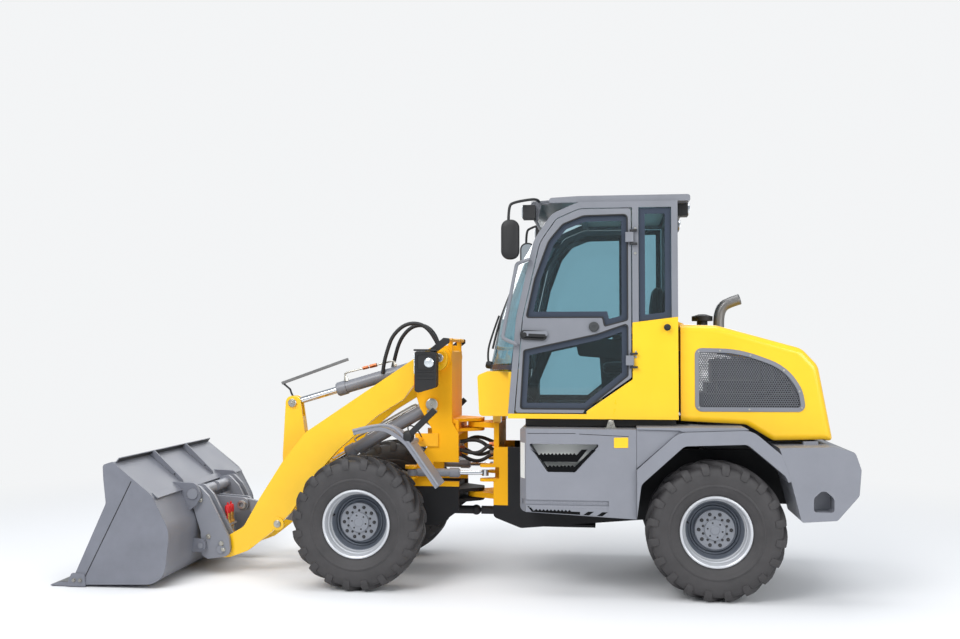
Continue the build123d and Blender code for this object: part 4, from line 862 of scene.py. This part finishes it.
def teeth(form, start, end, count, height, y0, y1):
    """Row of upright teeth along a line from start to end, in X and Z."""
    start = Vector(start)
    end = Vector(end)
    for k in range(count):
        top = start.lerp(end, (k + 0.46) / count) + Vector((0, height))
        form.prism([start.lerp(end, k / count), start.lerp(end, (k + 0.92) / count), top], y0, y1)


def corner_row(reach):
    """Corners of the plate on the box's chamfer, at a distance from it."""
    row = []
    for along, z in ((0.016, 0.838), (0.084, 0.838), (0.084, 1.089), (0.016, 1.089)):
        foot = CORNER + CORNER_ALONG * along + CORNER_OUT * reach
        row.append((foot.x, foot.y, z))
    return row


for side in SIDES:
    form = Shape(side)
    # Painted shadow: the black bands in the recess and the black bars along the lower tread, toothed on their
    # upper edges, stand for the shade under the serrated treads. The seams are dark joints.
    for outline in (UPPER_STEP, LOWER_STEP):
        form.prism(outline, 0.782, 0.8025)
    teeth(form, (-0.055, 1.0065), (-0.314, 1.009), 10, 0.013, 0.783, 0.801)
    teeth(form, (-0.116, 0.9215), (-0.3, 0.924), 7, 0.013, 0.783, 0.801)
    for outline in LOWER_BARS:
        form.prism(outline, 0.8022, 0.8035)
    teeth(form, (-0.02, 0.6155), (-0.28, 0.6125), 10, 0.012, 0.8022, 0.8035)
    for (x0, z0), (x1, z1) in SEAMS:
        form.prism([(x0, z0 - SEAM_HALF), (x1, z1 - SEAM_HALF), (x1, z1 + SEAM_HALF), (x0, z0 + SEAM_HALF)],
                   0.8001, 0.8008)
    form.done("step_shadows_and_seams", STEP_SHADOW_BLACK, "rear", "black_plastic")
    form.prism([(0.03, 0.6075), (-0.535, 0.583), (-0.535, 0.6545), (0.03, 0.6545)], 0.8002, 0.8022)
    form.block(-0.5395, 0.029, 0.784, 0.789, 0.6555, 0.6895)
    form.tile(SLOT_END, 0.6555, 0.6895)
    for k in range(24):
        for y, z in ((0.8022, 0.64), (0.789, 0.672)):
            form.turned(STUD, (0.012 - k * 0.0232, y, z), steps=12)
    form.done("lower_tread", GREY, "rear", "grey_paint")
    # Painted light: the treads and the liner in each recess are pale, so that the recess's shade renders near
    # the box's grey.
    for x0, x1, z in ((-0.06, -0.312, 1.002), (-0.118, -0.298, 0.917)):
        for k in range(3):
            y = 0.7 + k * 0.027
            form.block(x1, x0, y, y + 0.018, z - 0.008, z)
        form.block(x1, x0, 0.698, 0.782, z - 0.012, z - 0.007)
    form.done("step_treads", PALE, "rear", "grey_paint", bevel=0.001)
    form.prism(LINER, 0.692, 0.697)
    form.done("step_liner", PALE, "rear", "grey_paint")
    form.prism(BARE_PLATE, 0.8002, 0.8024)
    form.done("bare_plate", YELLOW, "rear", "yellow_paint", bevel=0.0008)
    form.skin([corner_row(0.0004), corner_row(0.004)])
    form.done("corner_plate", PALE, "rear", "rim_paint", bevel=0.001)
    form.pin((-0.557, 0.69, 1.232), (-0.557, 0.72, 1.232), 0.02, 24)
    form.prism(MOUNT, 0.7, 0.708)
    form.block(-0.6, -0.515, 0.66, 0.725, 1.1925, 1.198)
    form.bolt((-0.557, 0.72, 1.232), 0.012)
    form.done("cab_mount", ZINC, "rear", "steel")

# Coupler and bucket: bolts, hydraulic couplings, ribs, lip and wearing edge

COUPLER_BOLTS = ((2.65, 0.633), (2.623, 0.578), (2.557, 0.297), (2.451, 0.244), (2.435, 0.199))
BUCKET_SEAM = [(2.944, 0.781), (2.95, 0.783), (3.318, 0.042), (3.312, 0.04)]
for side in SIDES:
    form = Shape(side)
    for x, z in COUPLER_BOLTS:
        form.bolt((x, 0.3865, z), 0.019)
    form.done("coupler_bolts", ZINC, "attachment", "steel")
    for x in (3.33, 3.38):
        form.bolt((x, 0.9002, 0.05), 0.015)
    form.done("cutter_bolts", STEEL, "attachment", "steel")
    form.prism(BUCKET_SEAM, 0.8902, 0.8915)
    form.done("bucket_seam", DARK, "attachment", "dark_paint")


def on_slope(*rows):
    """Places on the bucket's sloping top plate, in X and Z, from (along, high) rows."""
    return [Vector((2.802, 0.695)) + Vector((0.788, 0.617)) * along + Vector((-0.617, 0.788)) * high
            for along, high in rows]


RIB_Y = (-0.3, 0.3)
RIB_HALF = 0.006
whole.prism(on_slope((0.355, 0.0), (0.363, 0.0), (0.363, 0.042), (0.355, 0.042)), -0.855, 0.855)
whole.prism(on_slope((0.0, -0.012), (0.0, 0.003), (-0.06, 0.003), (-0.06, -0.007)), -0.855, 0.855)
rib = on_slope((0.356, 0.0), (0.356, 0.05), (0.33, 0.05), (0.02, 0.02), (0.0, 0.0))
for y in RIB_Y:
    whole.prism(rib, y - RIB_HALF, y + RIB_HALF)
whole.done("bucket_lip_and_ribs", BUCKET_GREY, "attachment", "grey_paint", bevel=0.0015)
whole.prism(on_slope((0.3535, 0.006), (0.3545, 0.006), (0.3545, 0.038), (0.3535, 0.038)), -0.85, 0.85)
hole = on_slope((0.1, 0.013))[0]
for y in RIB_Y:
    for turn in (1, -1):
        whole.drum(0.007, 0.0006, (hole.x, y + turn * RIB_HALF, hole.y), (0, turn, 0), 20)
whole.done("bucket_lip_shade", DARK, "attachment", "dark_paint")
WORN_EDGE = [(3.405, 0.0345), (3.49, 0.0345), (3.566, 0.0112), (3.566, 0.0122), (3.49, 0.0357),
             (3.405, 0.0357)]
whole.prism(WORN_EDGE, -0.885, 0.885)
whole.done("worn_edge", STEEL, "attachment", "steel")

COUPLING_X = 2.46
COUPLING_Y = (0.215, 0.15)
SLEEVE = [(0, 0.02), (0.018, 0.02), (0.018, 0.05), (0.022, 0.054), (0.022, 0.078), (0.016, 0.084), (0, 0.084)]
SOCKET = [(0, 0), (0.015, 0), (0.015, 0.05), (0.02, 0.052), (0.02, 0.075), (0, 0.075)]
CAP = [(0, 0.08), (0.021, 0.08), (0.024, 0.09), (0.024, 0.128), (0.019, 0.14), (0.008, 0.144), (0.007, 0.162),
       (0, 0.164)]
WASHER = [(0.019, 0.0), (0.033, 0.0), (0.035, 0.004), (0.035, 0.014), (0.033, 0.018), (0.019, 0.018),
          (0.019, 0.0)]
STRAP = ((2.467, 0.24, 0.49), (2.45, 0.262, 0.46), (2.455, 0.262, 0.42), (2.463, 0.24, 0.395))
COUPLING_HOSE = ((2.456, 0.278), (2.46, 0.235), (2.5, 0.222), (2.56, 0.24), (2.6, 0.28))
whole.prism([(2.43, 0.36), (2.6, 0.36), (2.6, 0.374), (2.43, 0.374)], 0.11, 0.25)
whole.prism([(2.585, 0.3), (2.602, 0.3), (2.612, 0.374), (2.585, 0.374)], 0.11, 0.25)
whole.done("coupling_bracket", GREY, "attachment", "grey_paint", bevel=0.002)
bodies = Shape()
caps = Shape()
unions = Shape()
for y in COUPLING_Y:
    foot = (COUPLING_X, y, 0.374)
    bodies.drum(0.024, 0.022, foot, (0.06, 0, 1), 6)
    bodies.turned(SLEEVE, foot, (0.06, 0, 1), 28)
    bodies.turned(SOCKET, (COUPLING_X, y, 0.362), (-0.06, 0, -1), 6)
    caps.turned(CAP, foot, (0.06, 0, 1), 28)
    unions.pin((2.458, y, 0.312), (2.458, y, 0.344), 0.017, 24)
    unions.pin((2.456, y, 0.274), (2.458, y, 0.324), 0.011)
bodies.done("coupling_bodies", BRASS, "attachment", "steel")
caps.done("coupling_caps", RED, "attachment", "black_plastic")
line("cap_strap", [at(*place) for place in STRAP], 0.0045, RED, "attachment", "black_plastic")
unions.turned(WASHER, (LINK_PIN[0], 0.0725, LINK_PIN[1]))
unions.done("coupling_fittings", ZINC, "attachment", "steel")
for y in COUPLING_Y:
    route = [at(x, y, z) for x, z in COUPLING_HOSE]
    line(f"coupling_hose_{round(y * 1000)}", route, 0.0105, RUBBER, "attachment", "black_plastic")

# Loader: pins, grease caps, keeper plates, level bar, cylinder pipes and hoses

for side in SIDES:
    form = Shape(side)
    form.pin_end(LEVER_TOP, 0.0572, 0.034)
    form.pin_end(LEVER_FOOT, 0.0572, 0.034)
    form.done("lever_pins", ZINC, "lever", "steel")
    form.pin_end(LEVER_PIVOT, 0.0952, 0.032)
    form.pin_end(ARM_EYE, 0.3542, 0.028)
    form.done("arm_pins", ZINC, "arms", "steel")
    form.pin_end(ARM_PIVOT, 0.3542, 0.032)
    form.pin_end(LIFT_BASE, 0.2792, 0.046)
    form.prism(box_rows(0.77, 0.85, 1.262, 1.29, 0.01), 0.2652, 0.273)
    for x in (0.785, 0.835):
        form.bolt((x, 0.273, 1.276), 0.011)
    form.done("tower_pins", ZINC, "front", "steel")


def beside(base, top, along, high, y):
    """A place beside a cylinder, along it from its base eye, of eyes in X and Z."""
    run = Vector((top[0] - base[0], 0, top[1] - base[1])).normalized()
    return at(base[0], y, base[1]) + run * along + Vector((-run.z, 0, run.x)) * high


def on_rod(along, high):
    """A place in the plane of the tilt cylinder's pipe."""
    return beside(ARM_PIVOT, LEVER_TOP, along, high, 0.012)


bar_start = at(2.096, -0.012, 1.467)
bar_end = at(1.542, -0.012, 1.664)
bar_run = (bar_end - bar_start).normalized()
bar_up = Vector((bar_run.z, 0, -bar_run.x))
BAR_SECTION = ((0, 0), (0.024, 0), (0.024, 0.024), (0, 0.024))
whole.skin([[place + bar_up * h + Vector((0, w, 0)) for h, w in BAR_SECTION]
            for place in (bar_start, bar_end)])
whole.done("level_bar", ALUMINISED, "tilt_rod", "steel", bevel=0.003)
BAR_STALK = ((2.0, 1.36), (2.02, 1.4), (2.03, 1.43), (2.085, 1.475))
line("level_bar_stalk", [at(x, 0, z) for x, z in BAR_STALK], 0.008, DARK, "tilt_rod", "dark_paint", knots=2)
TILT_PIPE = ((0.835, 0.04), (0.835, 0.105), (0.81, 0.112), (0.45, 0.098), (0.425, 0.096), (0.42, 0.045))
line("tilt_pipe", [on_rod(*row) for row in TILT_PIPE], 0.0075, ZINC, "tilt_barrel", "steel", knots=2)
whole.pin(on_rod(0.56, 0.102), on_rod(0.62, 0.105), 0.017, 6, 0.1)
whole.pin(on_rod(0.63, 0.105), on_rod(0.68, 0.107), 0.015, 6, 0.1)
whole.done("tilt_pipe_unions", COPPER, "tilt_barrel", "steel")
PORT = [(0, 0), (0.02, 0), (0.02, 0.02), (0.014, 0.026), (0.014, 0.04), (0, 0.04)]
for d in (0.835, 0.42):
    whole.turned(PORT, on_rod(d, 0.046), on_rod(0, 1) - on_rod(0, 0), 6)
whole.done("tilt_ports", ZINC, "tilt_barrel", "steel")
NEAR_HOSE = ((0.78, 1.74), (0.8, 1.8), (0.9, 1.95), (1.05, 1.97), (1.17, 1.87), (1.215, 1.74), (1.24, 1.645),
             (1.25, 1.56))
FAR_HOSE = ((0.8, 1.72), (0.815, 1.83), (0.9, 1.945), (1.02, 1.95), (1.115, 1.86), (1.165, 1.73), (1.19, 1.6))
for name, y, route in (("tilt_hose_near", 0.05, NEAR_HOSE), ("tilt_hose_far", -0.05, FAR_HOSE)):
    hose(name, [at(x, y, z) for x, z in route], 0.0155)
LIFT_PIPE = ((0.13, 0.04), (0.13, 0.066), (0.16, 0.07), (0.66, 0.07), (0.69, 0.066), (0.69, 0.046))
for side, sign in SIDES.items():
    route = [beside(LIFT_BASE, LIFT_EYE, d, h, sign * 0.18) for d, h in LIFT_PIPE]
    line(f"lift_pipe_{side}", route, 0.007, ZINC, "lift_barrels", "steel", knots=2)

# Front end: head lamps, markers, fender rims

LAMP_CAP = [(0.912, 1.741, 0.008), (0.905, 1.756, 0.004), (0.735, 1.756, 0.006), (0.728, 1.741, 0.006)]
LAMP_SHELL = rounded([(0.885, 1.72, 0.02), (0.75, 1.72, 0.03), (0.75, 1.6, 0.03), (0.885, 1.6, 0.02)])
SIDE_LENS = [(0, 0), (0.036, 0), (0.036, 0.004), (0.026, 0.01), (0, 0.012)]
BULB = [(0, -0.045), (0.03, -0.036), (0.043, -0.012), (0.045, 0.0), (0.043, 0.012), (0.03, 0.036), (0, 0.045)]
STALK_ALONG = Vector((-0.71, 0, 0.704))
STALK_WIDE = Vector((0.704, 0, 0.71))
STALK_SECTION = ((-0.022, -0.022), (0.022, -0.022), (0.022, 0.022), (-0.022, 0.022))
WIRE = ((0, 0.03, 0.03), (0.03, 0.06, 0.08), (-0.04, 0.12, 0.06), (-0.06, 0.2, -0.02))
FENDER_RIM = ((0.672, 0.776), (0.79, 0.945), (0.905, 1.108), (1.0, 1.2), (1.12, 1.212), (1.3, 1.164))
for side, sign in SIDES.items():
    form = Shape(side)
    form.prism(LAMP_CAP, 0.412, 0.528)
    for z in (1.53, 1.555, 1.58):
        form.block(0.75, 0.885, 0.5203, 0.524, z, z + 0.008)
    form.ring(LAMP_SHELL, inset(LAMP_SHELL, 0.007), 0.5202, 0.525)
    form.done("lamp_shell", BLACK, "front", "black_plastic", bevel=0.002)
    form.turned(SIDE_LENS, (0.79, 0.5202, 1.655), steps=36)
    form.done("lamp_side_lens", LAMP, "front", "glass")
    form.block(0.9002, 0.908, 0.428, 0.512, 1.57, 1.73)
    form.done("lamp_front_lens", LAMP, "front", "glass", bevel=0.004)
    form.block(0.9002, 0.906, 0.43, 0.51, 1.465, 1.56)
    form.done("turn_lens", AMBER, "front", "glass", bevel=0.004)
    hub = at(0.895, sign * 0.775, 1.125)
    form.turned(BULB, hub, steps=28)
    form.skin([[hub + STALK_ALONG * d + STALK_WIDE * w + Vector((0, h, 0)) for w, h in STALK_SECTION]
               for d in (0.02, 0.275)])
    form.done("marker", BLACK, "front", "black_plastic", bevel=0.004)
    route = [hub + Vector((x, -sign * y, z)) for x, y, z in WIRE]
    line(f"marker_wire_{side}", route, 0.005, RUBBER, "front", "black_plastic")
    route = [at(x, sign * 0.798, z) for x, z in FENDER_RIM]
    line(f"fender_rim_{side}", route, 0.011, GREY, "front", "grey_paint")

# Articulation: hoses and fittings between the two frames

# Place across, height at either end, and how far the middle lies above them
STEER_HOSES = ((0.17, 1.02, 0.98, -0.05), (0.12, 0.96, 1.03, 0.05), (0.05, 0.93, 0.93, -0.054),
               (-0.06, 1.0, 1.0, 0.054), (-0.13, 0.95, 0.96, -0.047))
HOSE_COLLAR = [(0.0148, 0), (0.021, 0), (0.021, 0.02), (0.018, 0.024), (0.018, 0.045), (0.0148, 0.045),
               (0.0148, 0)]
for i, (y, z0, z1, sag) in enumerate(STEER_HOSES):
    middle = (z0 + z1) / 2 + sag
    route = [at(0.29, y, z0), at(0.36, y, z0 + 0.01), at(0.45, y + 0.02, middle), at(0.54, y - 0.02, middle),
             at(0.62, y, z1), at(0.7, y, z1)]
    hose(f"steer_hose_{i}", route, 0.0145)
    for body, x, z, ahead in (("rear", 0.331, z0, 1), ("front", 0.655, z1, -1)):
        whole.turned(HOSE_COLLAR, (x, y, z), (ahead, 0, 0), 6)
        whole.done(f"hose_collar_{body}_{i}", ZINC if i % 2 else COPPER, body, "steel")

# Cab: seat, console, lamps, mirrors and visor, and the tail lamps


def cushion(name, half, place, lean, crown, channels):
    """Crowned cushion with pulled-in sides, a piped seam and sewn channels, its top along its own Z."""
    form = Shape()
    bmesh.ops.create_cube(form.bm, size=2.0)
    bmesh.ops.subdivide_edges(form.bm, edges=form.bm.edges[:], cuts=27, use_grid_fill=True)
    turn = Matrix.Translation(place) @ Matrix.Rotation(lean, 4, "Y")
    for vert in form.bm.verts:
        x, y, z = vert.co
        size = (abs(x) ** 7 + abs(y) ** 7 + abs(z) ** 3.2) ** (1 / 7)
        x, y, z = x / size, y / size, z / size
        x *= 1 - 0.045 * (1 - y * y)
        y *= 1 - 0.035 * (1 - x * x)
        pinch = 1 - 0.03 * math.exp(-((z / 0.12) ** 2))
        x *= pinch
        y *= pinch
        if z > 0:
            rise = crown * (1 - x * x) * (1 - y * y)
            for where, axis in channels:
                away = (y if axis == "y" else x) - where
                rise -= 0.16 * math.exp(-(away / 0.035) ** 2) * (1 - abs(z - 1) * 0.5)
            z += rise
        else:
            z = max(z, -0.92)
        vert.co = turn @ Vector((x * half[0], y * half[1], z * half[2] * 0.86))
    obj = form.done(name, CLOTH, "rear", "black_plastic", angle=70)
    return obj


PAD_CHANNELS = ((-0.55, "y"), (0.55, "y"), (-0.35, "x"), (0.3, "x"))
BACK_CHANNELS = ((-0.55, "y"), (0.55, "y"), (-0.3, "x"), (0.15, "x"), (0.6, "x"))
seat_pad = cushion("seat_cushion", (0.205, 0.23, 0.05), at(-0.695, 0, 1.613), 0.03, 0.22, PAD_CHANNELS)
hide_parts("seat")
cushion("seat_back", (0.285, 0.225, 0.046), at(-0.893, 0, 1.955), 1.46, 0.2, BACK_CHANNELS)
for side, sign in SIDES.items():
    cushion(f"arm_rest_{side}", (0.13, 0.028, 0.02), at(-0.7, sign * 0.275, 1.85), 0.05, 0.15, ())
ARM_BRACKET = [(-0.83, 1.835, 0.006), (-0.94, 1.835, 0.02), (-0.92, 1.65, 0.02), (-0.89, 1.65, 0.01),
               (-0.89, 1.815, 0.01), (-0.83, 1.82, 0.006)]
for k in range(7):
    z = 1.335 + k * 0.03
    grow = 0.012 if k % 2 else 0.0
    whole.tile(box_rows(-0.86 - grow, -0.58 + grow, -0.17 - grow, 0.17 + grow, 0.03), z, z + 0.028)
whole.tile(box_rows(-0.89, -0.53, -0.2, 0.2, 0.04), 1.545, 1.566)
whole.tile(box_rows(-0.88, -0.55, -0.19, 0.19, 0.02), 1.2905, 1.335)
whole.prism([(-0.9, 1.6, 0.02), (-0.925, 1.6, 0.01), (-0.985, 2.2, 0.01), (-0.96, 2.2, 0.02)], -0.2, 0.2)
for y, y0, y1 in ((-0.275, -0.275, -0.19), (0.275, 0.19, 0.275)):
    whole.prism(ARM_BRACKET, y - 0.02, y + 0.02)
    whole.block(-0.925, -0.885, y0, y1, 1.65, 1.68)
whole.done("seat_base", BLACK, "rear", "black_plastic", bevel=0.003)
CONSOLE = [(-0.78, 1.66, 0.03), (-0.3, 1.7, 0.03), (-0.28, 1.8, 0.03), (-0.4, 1.845, 0.03),
           (-0.78, 1.83, 0.03)]
CONSOLE_FOOT = [(-0.7, 1.2905, 0.005), (-0.5, 1.2905, 0.005), (-0.47, 1.7, 0.01), (-0.72, 1.7, 0.01)]
whole.prism(CONSOLE, -0.47, -0.33)
whole.prism(CONSOLE_FOOT, -0.45, -0.35)
whole.prism([(-0.02, 1.86, 0.02), (0.1, 1.84, 0.03), (0.13, 1.98, 0.04), (0.02, 2.02, 0.03)], -0.17, 0.17)
whole.prism(box_rows(0.05, 0.12, 1.6, 1.86, 0.01), -0.1, 0.1)
whole.tile(box_rows(-0.98, 0.12, -0.63, 0.63, 0.02), 1.2903, 1.296)
whole.done("cab_console", TRIM, "rear", "black_plastic", bevel=0.004)
JOYSTICK = [(0, 0), (0.05, 0), (0.048, 0.012), (0.04, 0.016), (0.042, 0.026), (0.032, 0.03), (0.034, 0.04),
            (0.024, 0.046), (0.012, 0.06), (0.011, 0.13), (0.02, 0.14), (0.026, 0.16), (0.028, 0.2),
            (0.022, 0.225), (0.01, 0.235), (0, 0.236)]
SWITCH = [(0, 0), (0.012, 0), (0.008, 0.02), (0.006, 0.07), (0.012, 0.075), (0.013, 0.09), (0, 0.095)]
HORN = [(0, 0), (0.045, 0), (0.05, 0.01), (0.04, 0.022), (0, 0.026)]
PEDAL = [(0.03, 1.34, 0.01), (0.14, 1.42, 0.01), (0.13, 1.435, 0.006), (0.02, 1.355, 0.006)]
whole.turned(JOYSTICK, (-0.37, -0.4, 1.832), (0.1, 0, 1), 28)
for y in (-0.44, -0.36):
    whole.turned(SWITCH, (-0.5, y, 1.836), (0.15, 0, 1), 20)
whole.turned(HORN, (-0.15, 0, 1.957), (-0.21, 0, 0.5))
for y in (0.16, -0.16):
    whole.prism(PEDAL, y - 0.05, y + 0.05)
whole.done("cab_controls", BLACK, "rear", "black_plastic")
whole.tile(box_rows(-0.97, -0.34, -0.63, 0.63, 0.05), 2.795, 2.8145)
whole.done("head_lining", PALE, "rear", "grey_paint", bevel=0.006)

WORK_LENS = rounded(box_rows(0.602, 0.698, 2.702, 2.798, 0.018))
REAR_LAMP = (-1.1202, 0.48, 2.777)
REAR_LAMP_WAY = (-1, 0, -0.12)
REAR_LENS = [(0, -0.005), (0.036, -0.005), (0.042, 0.004), (0.03, 0.014), (0, 0.017)]
REAR_BEZEL = [(0.041, -0.02), (0.049, -0.02), (0.049, 0.008), (0.045, 0.012), (0.041, 0.008), (0.041, -0.02)]
MIRROR_BACK = box_rows(0.09, 0.215, 2.4, 2.68, 0.055)
MIRROR_LEVELS = ((-0.003, 0.774), (-0.003, 0.796), (0.004, 0.808), (0.02, 0.816), (0.04, 0.819))
MIRROR_ARM = ((-0.04, 0.6, 2.838), (-0.04, 0.66, 2.84), (0.0, 0.71, 2.84), (0.13, 0.77, 2.81),
              (0.165, 0.785, 2.78), (0.165, 0.79, 2.66))
VISOR = [(0.012, 2.835), (-0.25, 2.852), (-0.06, 2.818), (-0.026, 2.7), (0.0, 2.7)]
TAIL_LENSES = (("red", 0.558, 0.66, RED_LENS), ("amber", 0.664, 0.74, AMBER), ("clear", 0.744, 0.792, LAMP))


def on_weight(*rows):
    """Places before or behind the counterweight's tail face, in X and Z, from (ahead, height) rows."""
    return [(-2.24 + (z - 0.935) * 0.333 + ahead, z) for ahead, z in rows]


for side, sign in SIDES.items():
    form = Shape(side)
    form.skin([[(0.0702 + lift, p[0], p[1]) for p in inset(WORK_LENS, distance)]
               for distance, lift in ((0.004, 0.0), (0.004, 0.004), (0.012, 0.008))])
    form.done("work_lamp_lens", LAMP, "rear", "glass")
    form.turned(REAR_LENS, REAR_LAMP, REAR_LAMP_WAY, 36)
    form.done("rear_lamp_lens", LAMP, "rear", "glass")
    form.turned(REAR_BEZEL, REAR_LAMP, REAR_LAMP_WAY, 36)
    form.done("rear_lamp_bezel", CHROME, "rear", "steel")
    form.prism(box_rows(0.1, 0.205, 2.41, 2.67, 0.046), 0.7715, 0.7748)
    form.done("mirror_glass", MIRROR, "rear", "glass")
    form.skin([[(p[0], y, p[1]) for p in rounded(shrunk(MIRROR_BACK, distance))]
               for distance, y in MIRROR_LEVELS])
    form.done("mirror_shell", BLACK, "rear", "black_plastic")
    route = [at(x, sign * y, z) for x, y, z in MIRROR_ARM]
    arm = line(f"mirror_arm_{side}", route, 0.01, BLACK, "rear", "black_plastic")
    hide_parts("mirrors")
    perforated(form, VISOR, 0.6025, 0.014, 0.0055)
    thicken(form.done("visor_mesh", MESH_GREY, "rear", "grey_paint"), 0.0014)
    form.prism(on_weight((0.004, 0.955), (-0.004, 0.955), (-0.006, 1.04), (0.004, 1.04)), 0.55, 0.8)
    form.done("tail_lamp_body", BLACK, "rear", "black_plastic", bevel=0.003)
    for name, y0, y1, material in TAIL_LENSES:
        form.prism(on_weight((-0.002, 0.963), (-0.009, 0.963), (-0.009, 1.032), (-0.002, 1.032)), y0, y1)
        form.done(f"tail_lens_{name}", material, "rear", "glass", bevel=0.003)

# Scene: floor, light and camera

FLOOR_HALF = 40.0
FLOOR_Z = -0.0005
BACKDROP = (0.9, 0.91, 0.92, 1)
bm = bmesh.new()
corners = ((-1, -1), (1, -1), (1, 1), (-1, 1))
bm.faces.new([bm.verts.new((x * FLOOR_HALF, y * FLOOR_HALF, FLOOR_Z)) for x, y in corners])
floor_mesh = bpy.data.meshes.new("floor")
bm.to_mesh(floor_mesh)
bm.free()
floor = add_object("floor", floor_mesh)
pale_floor = bpy.data.materials.new("pale_floor")
pale_floor.use_nodes = True
tree = pale_floor.node_tree
near = fill(tree.nodes["Principled BSDF"], Base_Color=(0.8, 0.8, 0.81, 1), Roughness=0.9)
far = node(tree, "Emission", Color=BACKDROP)
reach = node(tree, "VectorMath")
reach.operation = "LENGTH"
tree.links.new(node(tree, "NewGeometry").outputs["Position"], reach.inputs[0])
fade = node(tree, "MapRange", From_Min=3.2, From_Max=8.0)
fade.interpolation_type = "SMOOTHSTEP"
tree.links.new(reach.outputs["Value"], fade.inputs["Value"])
rays = node(tree, "LightPath").outputs
direct = reckon(tree, "MAXIMUM", rays["Is Camera Ray"], rays["Is Glossy Ray"])
direct = reckon(tree, "MAXIMUM", direct, rays["Is Transmission Ray"])
blend = node(tree, "MixShader")
tree.links.new(reckon(tree, "MULTIPLY", fade.outputs["Result"], direct), blend.inputs["Fac"])
tree.links.new(near.outputs["BSDF"], blend.inputs[1])
tree.links.new(far.outputs["Emission"], blend.inputs[2])
tree.links.new(blend.outputs["Shader"], tree.nodes["Material Output"].inputs["Surface"])
floor_mesh.materials.append(pale_floor)

world = bpy.data.worlds.new("studio")
bpy.context.scene.world = world
world.use_nodes = True
tree = world.node_tree
plain = fill(tree.nodes["Background"], Color=(0.86, 0.93, 1.0, 1), Strength=0.55)
pale = node(tree, "Background", Color=BACKDROP, Strength=1.0)
seen = node(tree, "LightPath").outputs
mix = node(tree, "MixShader")
tree.links.new(reckon(tree, "MAXIMUM", seen["Is Camera Ray"], seen["Is Transmission Ray"]), mix.inputs["Fac"])
tree.links.new(plain.outputs["Background"], mix.inputs[1])
tree.links.new(pale.outputs["Background"], mix.inputs[2])
tree.links.new(mix.outputs["Shader"], tree.nodes["World Output"].inputs["Surface"])


def softbox(name, place, aim, size, power):
    """Large area lamp that points at a place."""
    lamp = bpy.data.lights.new(name, "AREA")
    lamp.shape = "RECTANGLE"
    lamp.size, lamp.size_y = size
    lamp.energy = power
    obj = add_object(name, lamp)
    obj.location = place
    obj.rotation_euler = (Vector(aim) - Vector(place)).to_track_quat("-Z", "Y").to_euler()
    obj.visible_transmission = False


softbox("key", (3.5, 7.5, 7.5), (0, 0, 1.0), (5, 5), 640)
softbox("fill", (-6.5, 6.0, 4.0), (0, 0, 1.0), (5, 4), 250)
softbox("top", (0, 0.5, 9.0), (0, 0, 0), (8, 5), 380)
softbox("back", (0, -8, 5.0), (0, 0, 1.2), (8, 4), 260)

AZIMUTH = 0.1268
PITCH = 0.0305
camera = bpy.data.cameras.new("camera")
camera.lens = 37.5
camera.sensor_width = 36
viewer = add_object("camera", camera)
viewer.location = at(-0.536, 7.9006, 1.7491)
look = Vector((math.sin(AZIMUTH) * math.cos(PITCH), -math.cos(AZIMUTH) * math.cos(PITCH), math.sin(PITCH)))
viewer.rotation_euler = look.to_track_quat("-Z", "Y").to_euler()
bpy.context.scene.camera = viewer
bpy.context.scene.view_settings.view_transform = "Standard"
